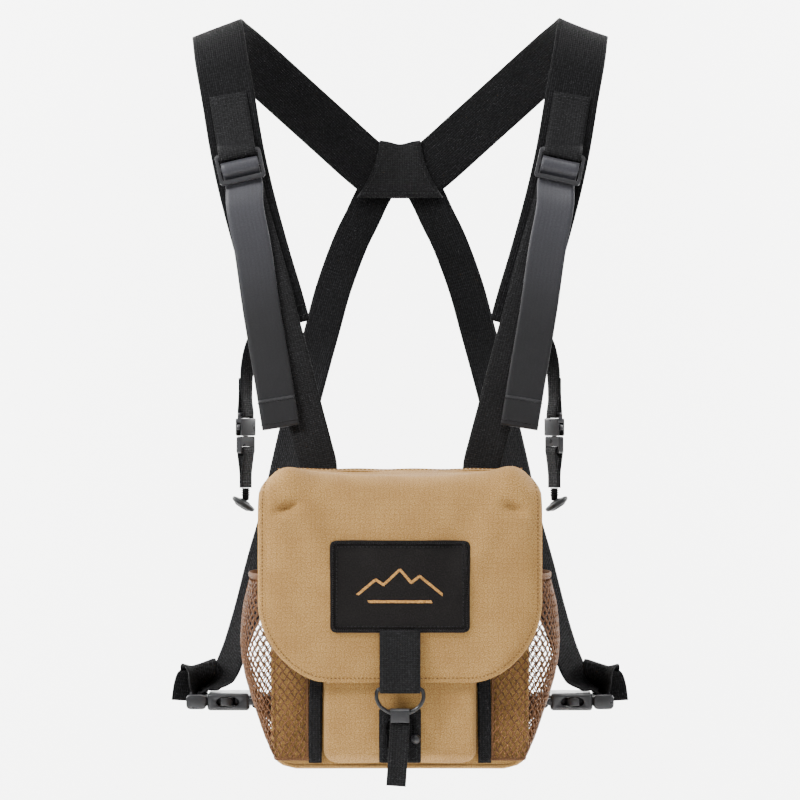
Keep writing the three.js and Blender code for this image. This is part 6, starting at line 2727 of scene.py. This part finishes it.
# ---------------------------------------------------------------- binocular tethers
@dataclass
class Tethers:
    """The two quick-release tethers that hold the binocular's own strap lugs.

    Attributes:
        shop: Finishes and thread trees.
        x: Distance from the middle of the pack.
        y: Depth of the tether's line.
        mouth: Height of the socket's mouth.
        turn: Angle, in degrees, that the buckle is turned about its line.
        web_width: Width of the webbing.
        web_thickness: Its thickness.
        toggle_radius: Radius of the toggle disc.
        toggle_tilt: Its tilt in degrees.
    """

    shop: Workshop
    x: float = 103.0
    y: float = -72.0
    mouth: float = -279.0
    turn: float = 50.0
    web_width: float = 10.0
    web_thickness: float = 1.1
    toggle_radius: float = 8.5
    toggle_tilt: float = 32.0

    def build(self) -> None:
        """Build both tethers."""
        acetal = self.shop.finishes.acetal
        for name, side in SIDES:
            self.shop.moulded(f"tether_buckle_socket_{name}", "harness", acetal, "black_acetal", 0.55)
            self.shop.moulded(
                f"tether_buckle_plug_{name}", f"tether_plug_{name}", acetal, "black_acetal", 0.5
            )
            for arm in ("a", "b"):
                self.shop.moulded(
                    f"tether_buckle_arm_{arm}_{name}", f"tether_arm_{arm}_{name}", acetal,
                    "black_acetal", 0.25
                )
            self._build_loop(name, side)
            self._build_web(name, side)
            self._build_neck(name, side)
            self._build_toggle(name, side)

    def _near(self, off: float, up: float) -> tuple[Point, Point]:
        """A strap station round the buckle's own line: off along its face, up from the mouth."""
        angle = math.radians(self.turn)
        c, s = math.cos(angle), math.sin(angle)
        return (self.x - s * off, self.y - c * off, self.mouth + up), (-c, s, 0.0)

    def _build_loop(self, name: str, side: int) -> None:
        """Build the webbing from the band's lower end, round the socket's bar."""
        slot_up, bar_up = 12.8, 14.7
        over = 1.3 + 0.4 + 0.6
        on_band = (-0.956, 0, 0.292)
        near = self._near
        stations = [
            ((88.5, -72.2, -199.5), on_band),
            ((93.6, -72.2, -209), on_band),
            ((98.6, -72.2, -219), (-0.95, 0.2, 0.2)),
            ((102.2, -72.4, -236), (-0.85, 0.5, 0.05)),
            near(1.1, bar_up + 9),
            near(over + 0.1, bar_up + 0.8),
            near(over, bar_up - 0.6),
            near(0.6 * over, slot_up - 0.15),
            near(-0.6 * over, slot_up - 0.15),
            near(-over, bar_up - 0.6),
            near(-over - 0.1, bar_up + 1.5),
            near(-1.6, bar_up + 12),
            near(-1.5, bar_up + 24),
        ]
        body, _, _, _ = strap(stations, self.web_width, self.web_thickness, side, 1.0, 0.15, 6)
        made = body.to_object(f"tether_loop_{name}_webbing", [self.shop.finishes.webbing])
        self.shop.place(made, "harness", "black_webbing", [f"tether_loop_{name}"])

    def _build_web(self, name: str, side: int) -> None:
        """Build the short webbing folded through the plug's slot."""
        male, length = 11.5, 23.0
        second = male - 0.2 * male - 2.2
        low_slot, low_bar = -(second + 1.1), -(male + second + 2.2) / 2
        around = 2.0 + 0.4 + 0.6
        foot = -male - length
        near = self._near
        stations = [
            near(0.8, foot),
            near(1, foot + 10),
            near(around - 0.4, -male - 2.5),
            near(around, low_bar),
            near(0.6 * around, low_slot + 0.1),
            near(-0.6 * around, low_slot + 0.1),
            near(-around, low_bar),
            near(-around + 0.4, -male - 2.5),
            near(-1, foot + 10),
            near(-0.8, foot),
        ]
        body, line, wide, off = strap(stations, self.web_width, self.web_thickness, side, 1.0, 0.1, 6)
        made = body.to_object(f"tether_web_{name}_webbing", [self.shop.finishes.webbing])
        self.shop.place(made, f"tether_plug_{name}", "black_webbing", [f"tether_web_{name}"])
        across = np.linspace(-4, 4, 8)[:, None]
        lines = []
        for k in (4, 10):
            for row, sign in ((k, 1), (len(line) - 1 - k, 1)):
                way = off[row] * np.sign(
                    np.dot(off[row], line[row] - (line[k] + line[len(line) - 1 - k]) / 2) or sign
                )
                lines.append(line[row] + wide[row] * across + way * 0.6)
        made = self.shop.threads.stitches(
            f"tether_web_stitches_{name}", lines, self.shop.finishes.black_thread, 1.6, 1.3, 0.45, 0.45
        )
        self.shop.place(made, f"tether_plug_{name}", "black_webbing")

    def _build_neck(self, name: str, side: int) -> None:
        """Build the ribbed cord neck between the webbing and the toggle."""
        low, high = box_mm(f"tether_cord_{name}")
        z = np.linspace(high[2], low[2] + 1.6, 60)
        ribs = 2.5 + 0.35 * np.cos((z - high[2]) * 2 * math.pi / 1.5)
        z = np.concatenate([z, [low[2] + 0.7, low[2] - 1.2, low[2] - 1.8]])
        ribs = np.concatenate([ribs, [2.3, 2.2, 1.2]])
        route = np.stack([np.full(len(z), side * self.x), np.full(len(z), self.y), z], axis=1)
        made = tube(route, ribs, 16).to_object(f"tether_neck_{name}_cord", [self.shop.finishes.elastic])
        recalculate(made)
        self.shop.place(made, f"tether_plug_{name}", "black_elastic", [f"tether_cord_{name}"])

    def _build_toggle(self, name: str, side: int) -> None:
        """Build the toggle: a tilted domed disc with a rim, which the lug's loop slips over."""
        radius, half = self.toggle_radius, 3.0
        share = np.array(
            [
                0.03, 0.3, 0.5, 0.58, 0.63, 0.72, 0.84, 0.93, 0.98, 1.0, 0.99, 0.95, 0.86, 0.7, 0.5, 0.4,
                0.3, 0.03
            ]
        )
        tall = np.array(
            [
                -1.0, -0.99, -0.95, -0.86, -0.74, -0.62, -0.5, -0.34, -0.14, 0.08, 0.28, 0.42, 0.52,
                0.62, 0.72, 0.9, 0.98, 1.0
            ]
        )
        angles = np.linspace(0, 2 * math.pi, 48, endpoint=False)
        rings = np.stack(
            [
                radius * share[:, None] * np.cos(angles)[None, :],
                radius * share[:, None] * np.sin(angles)[None, :],
                np.broadcast_to((half * tall - half)[:, None], (len(share), 48)),
            ],
            axis=2,
        )
        tilt = -side * math.radians(self.toggle_tilt)
        turned = rings.copy()
        turned[..., 0] = rings[..., 0] * math.cos(tilt) + rings[..., 2] * math.sin(tilt)
        turned[..., 2] = -rings[..., 0] * math.sin(tilt) + rings[..., 2] * math.cos(tilt)
        top = box_mm(f"tether_cord_{name}")[0][2] - 1.5
        turned += np.array([side * self.x, self.y, top])
        made = loft(turned, np.zeros((len(share), 48, 2))).to_object(
            f"toggle_disc_{name}", [self.shop.finishes.rubber]
        )
        recalculate(made)
        self.shop.place(made, f"toggle_{name}", "black_acetal", [f"tether_toggle_{name}"])


# ---------------------------------------------------------------- studio
@dataclass
class Studio:
    """Pale floor and backdrop, soft lights and the camera.

    Attributes:
        distance: Distance of the camera in front of the shoulders, in metres.
        height: Height of the camera, in metres.
        lens: Focal length on a 36 mm wide sensor.
        floor: Height of the floor, in metres.
    """

    distance: float = 2.575
    height: float = -0.255
    lens: float = 168.75
    floor: float = -0.66

    def build(self) -> None:
        """Build the stage, lights and camera."""
        self._build_backdrop()
        world = bpy.data.worlds.new("studio_air")
        world.use_nodes = True
        world.node_tree.nodes["Background"].inputs["Color"].default_value = (1.0, 1.0, 1.0, 1.0)
        world.node_tree.nodes["Background"].inputs["Strength"].default_value = 0.42
        bpy.context.scene.world = world
        middle = (0.0, 0.0, -0.28)
        self._light("key_softbox", (-1.15, -0.95, 0.85), middle, 0.5, 62.0)
        self._light("fill_softbox", (1.4, -1.9, 0.0), middle, 1.5, 9.0)
        self._light("top_softbox", (0.15, -0.75, 1.2), middle, 0.6, 26.0)
        for name, side in SIDES:
            self._light(
                f"backdrop_softbox_{name}", (side * 1.7, 0.9, 0.7), (side * 0.2, 2.3, -0.2), 1.0, 190.0
            )
        data = bpy.data.cameras.new("camera")
        data.lens = self.lens
        data.sensor_width = 36.0
        data.clip_start, data.clip_end = 0.05, 60.0
        camera = bpy.data.objects.new("camera", data)
        camera.location = (0.0, -self.distance, self.height)
        camera.rotation_euler = (math.radians(90), 0.0, 0.0)
        bpy.context.scene.collection.objects.link(camera)
        bpy.context.scene.camera = camera

    def _light(self, name: str, place: Point, aim: Point, size: float, power: float) -> None:
        """Hang one square softbox.

        Args:
            name: The light's name.
            place: Its place in metres.
            aim: The place that it looks at.
            size: Its side in metres.
            power: Its power in watts.
        """
        data = bpy.data.lights.new(name, "AREA")
        data.size = size
        data.energy = power
        lamp = bpy.data.objects.new(name, data)
        lamp.location = place
        way = Vector(aim) - Vector(place)
        lamp.rotation_euler = way.to_track_quat("-Z", "Y").to_euler()
        bpy.context.scene.collection.objects.link(lamp)

    def _build_backdrop(self) -> None:
        """Build one pale sheet that runs from the floor up behind the pack."""
        material, tree, shader = new_material("backdrop_paper")
        grain = add_node(tree, "ShaderNodeTexNoise", inputs={"Scale": 900.0, "Detail": 2.0})
        bump = add_node(
            tree, "ShaderNodeBump", inputs={
                "Height": grain.outputs["Fac"], "Distance": 0.0001, "Strength": 0.2
            }
        )
        tree.links.new(bump.outputs["Normal"], shader.inputs["Normal"])
        shader.inputs["Base Color"].default_value = linear("#f7f7f6")
        shader.inputs["Roughness"].default_value = 0.9
        shader.inputs["Specular IOR Level"].default_value = 0.1
        bend = np.linspace(0, math.pi / 2, 20)
        far, radius, top = 2200.0, 900.0, 3200.0
        floor = self.floor / MM
        line = [(-4500.0, floor), (0.0, floor)]
        line += [(far - radius + radius * math.sin(a), floor + radius * (1 - math.cos(a))) for a in bend]
        line.append((far, top))
        x = np.linspace(-5000, 5000, 3)
        yz = np.array(line)
        grid = np.stack(np.broadcast_arrays(x[None, :], yz[:, 0:1], yz[:, 1:2]), axis=2)
        rows, columns, _ = grid.shape
        faces = [
            (r * columns + c, r * columns + c + 1, (r + 1) * columns + c + 1, (r + 1) * columns + c)
            for r in range(rows - 1)
            for c in range(columns - 1)
        ]
        built = Build(grid.reshape(-1, 3), faces, np.zeros((rows * columns, 2)))
        backdrop = built.to_object("backdrop", [material])


# ---------------------------------------------------------------- the whole pack
def main() -> None:
    """Load the frame and build every sub-assembly in order."""
    logging.basicConfig(level=logging.INFO, format="%(name)s: %(message)s")
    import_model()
    Studio().build()
    shop = Workshop(FinishBook.build(), ThreadKit())
    Case(shop).build()
    FrontPocket(shop).build()
    NetPockets(shop).build()
    Flap(shop).build()
    RingAndLatch(shop).build()
    ShoulderStraps(shop, Harness()).build()
    BackStraps(shop).build()
    WaistBuckles(shop).build()
    Tethers(shop).build()


if __name__ == "__main__":
    main()
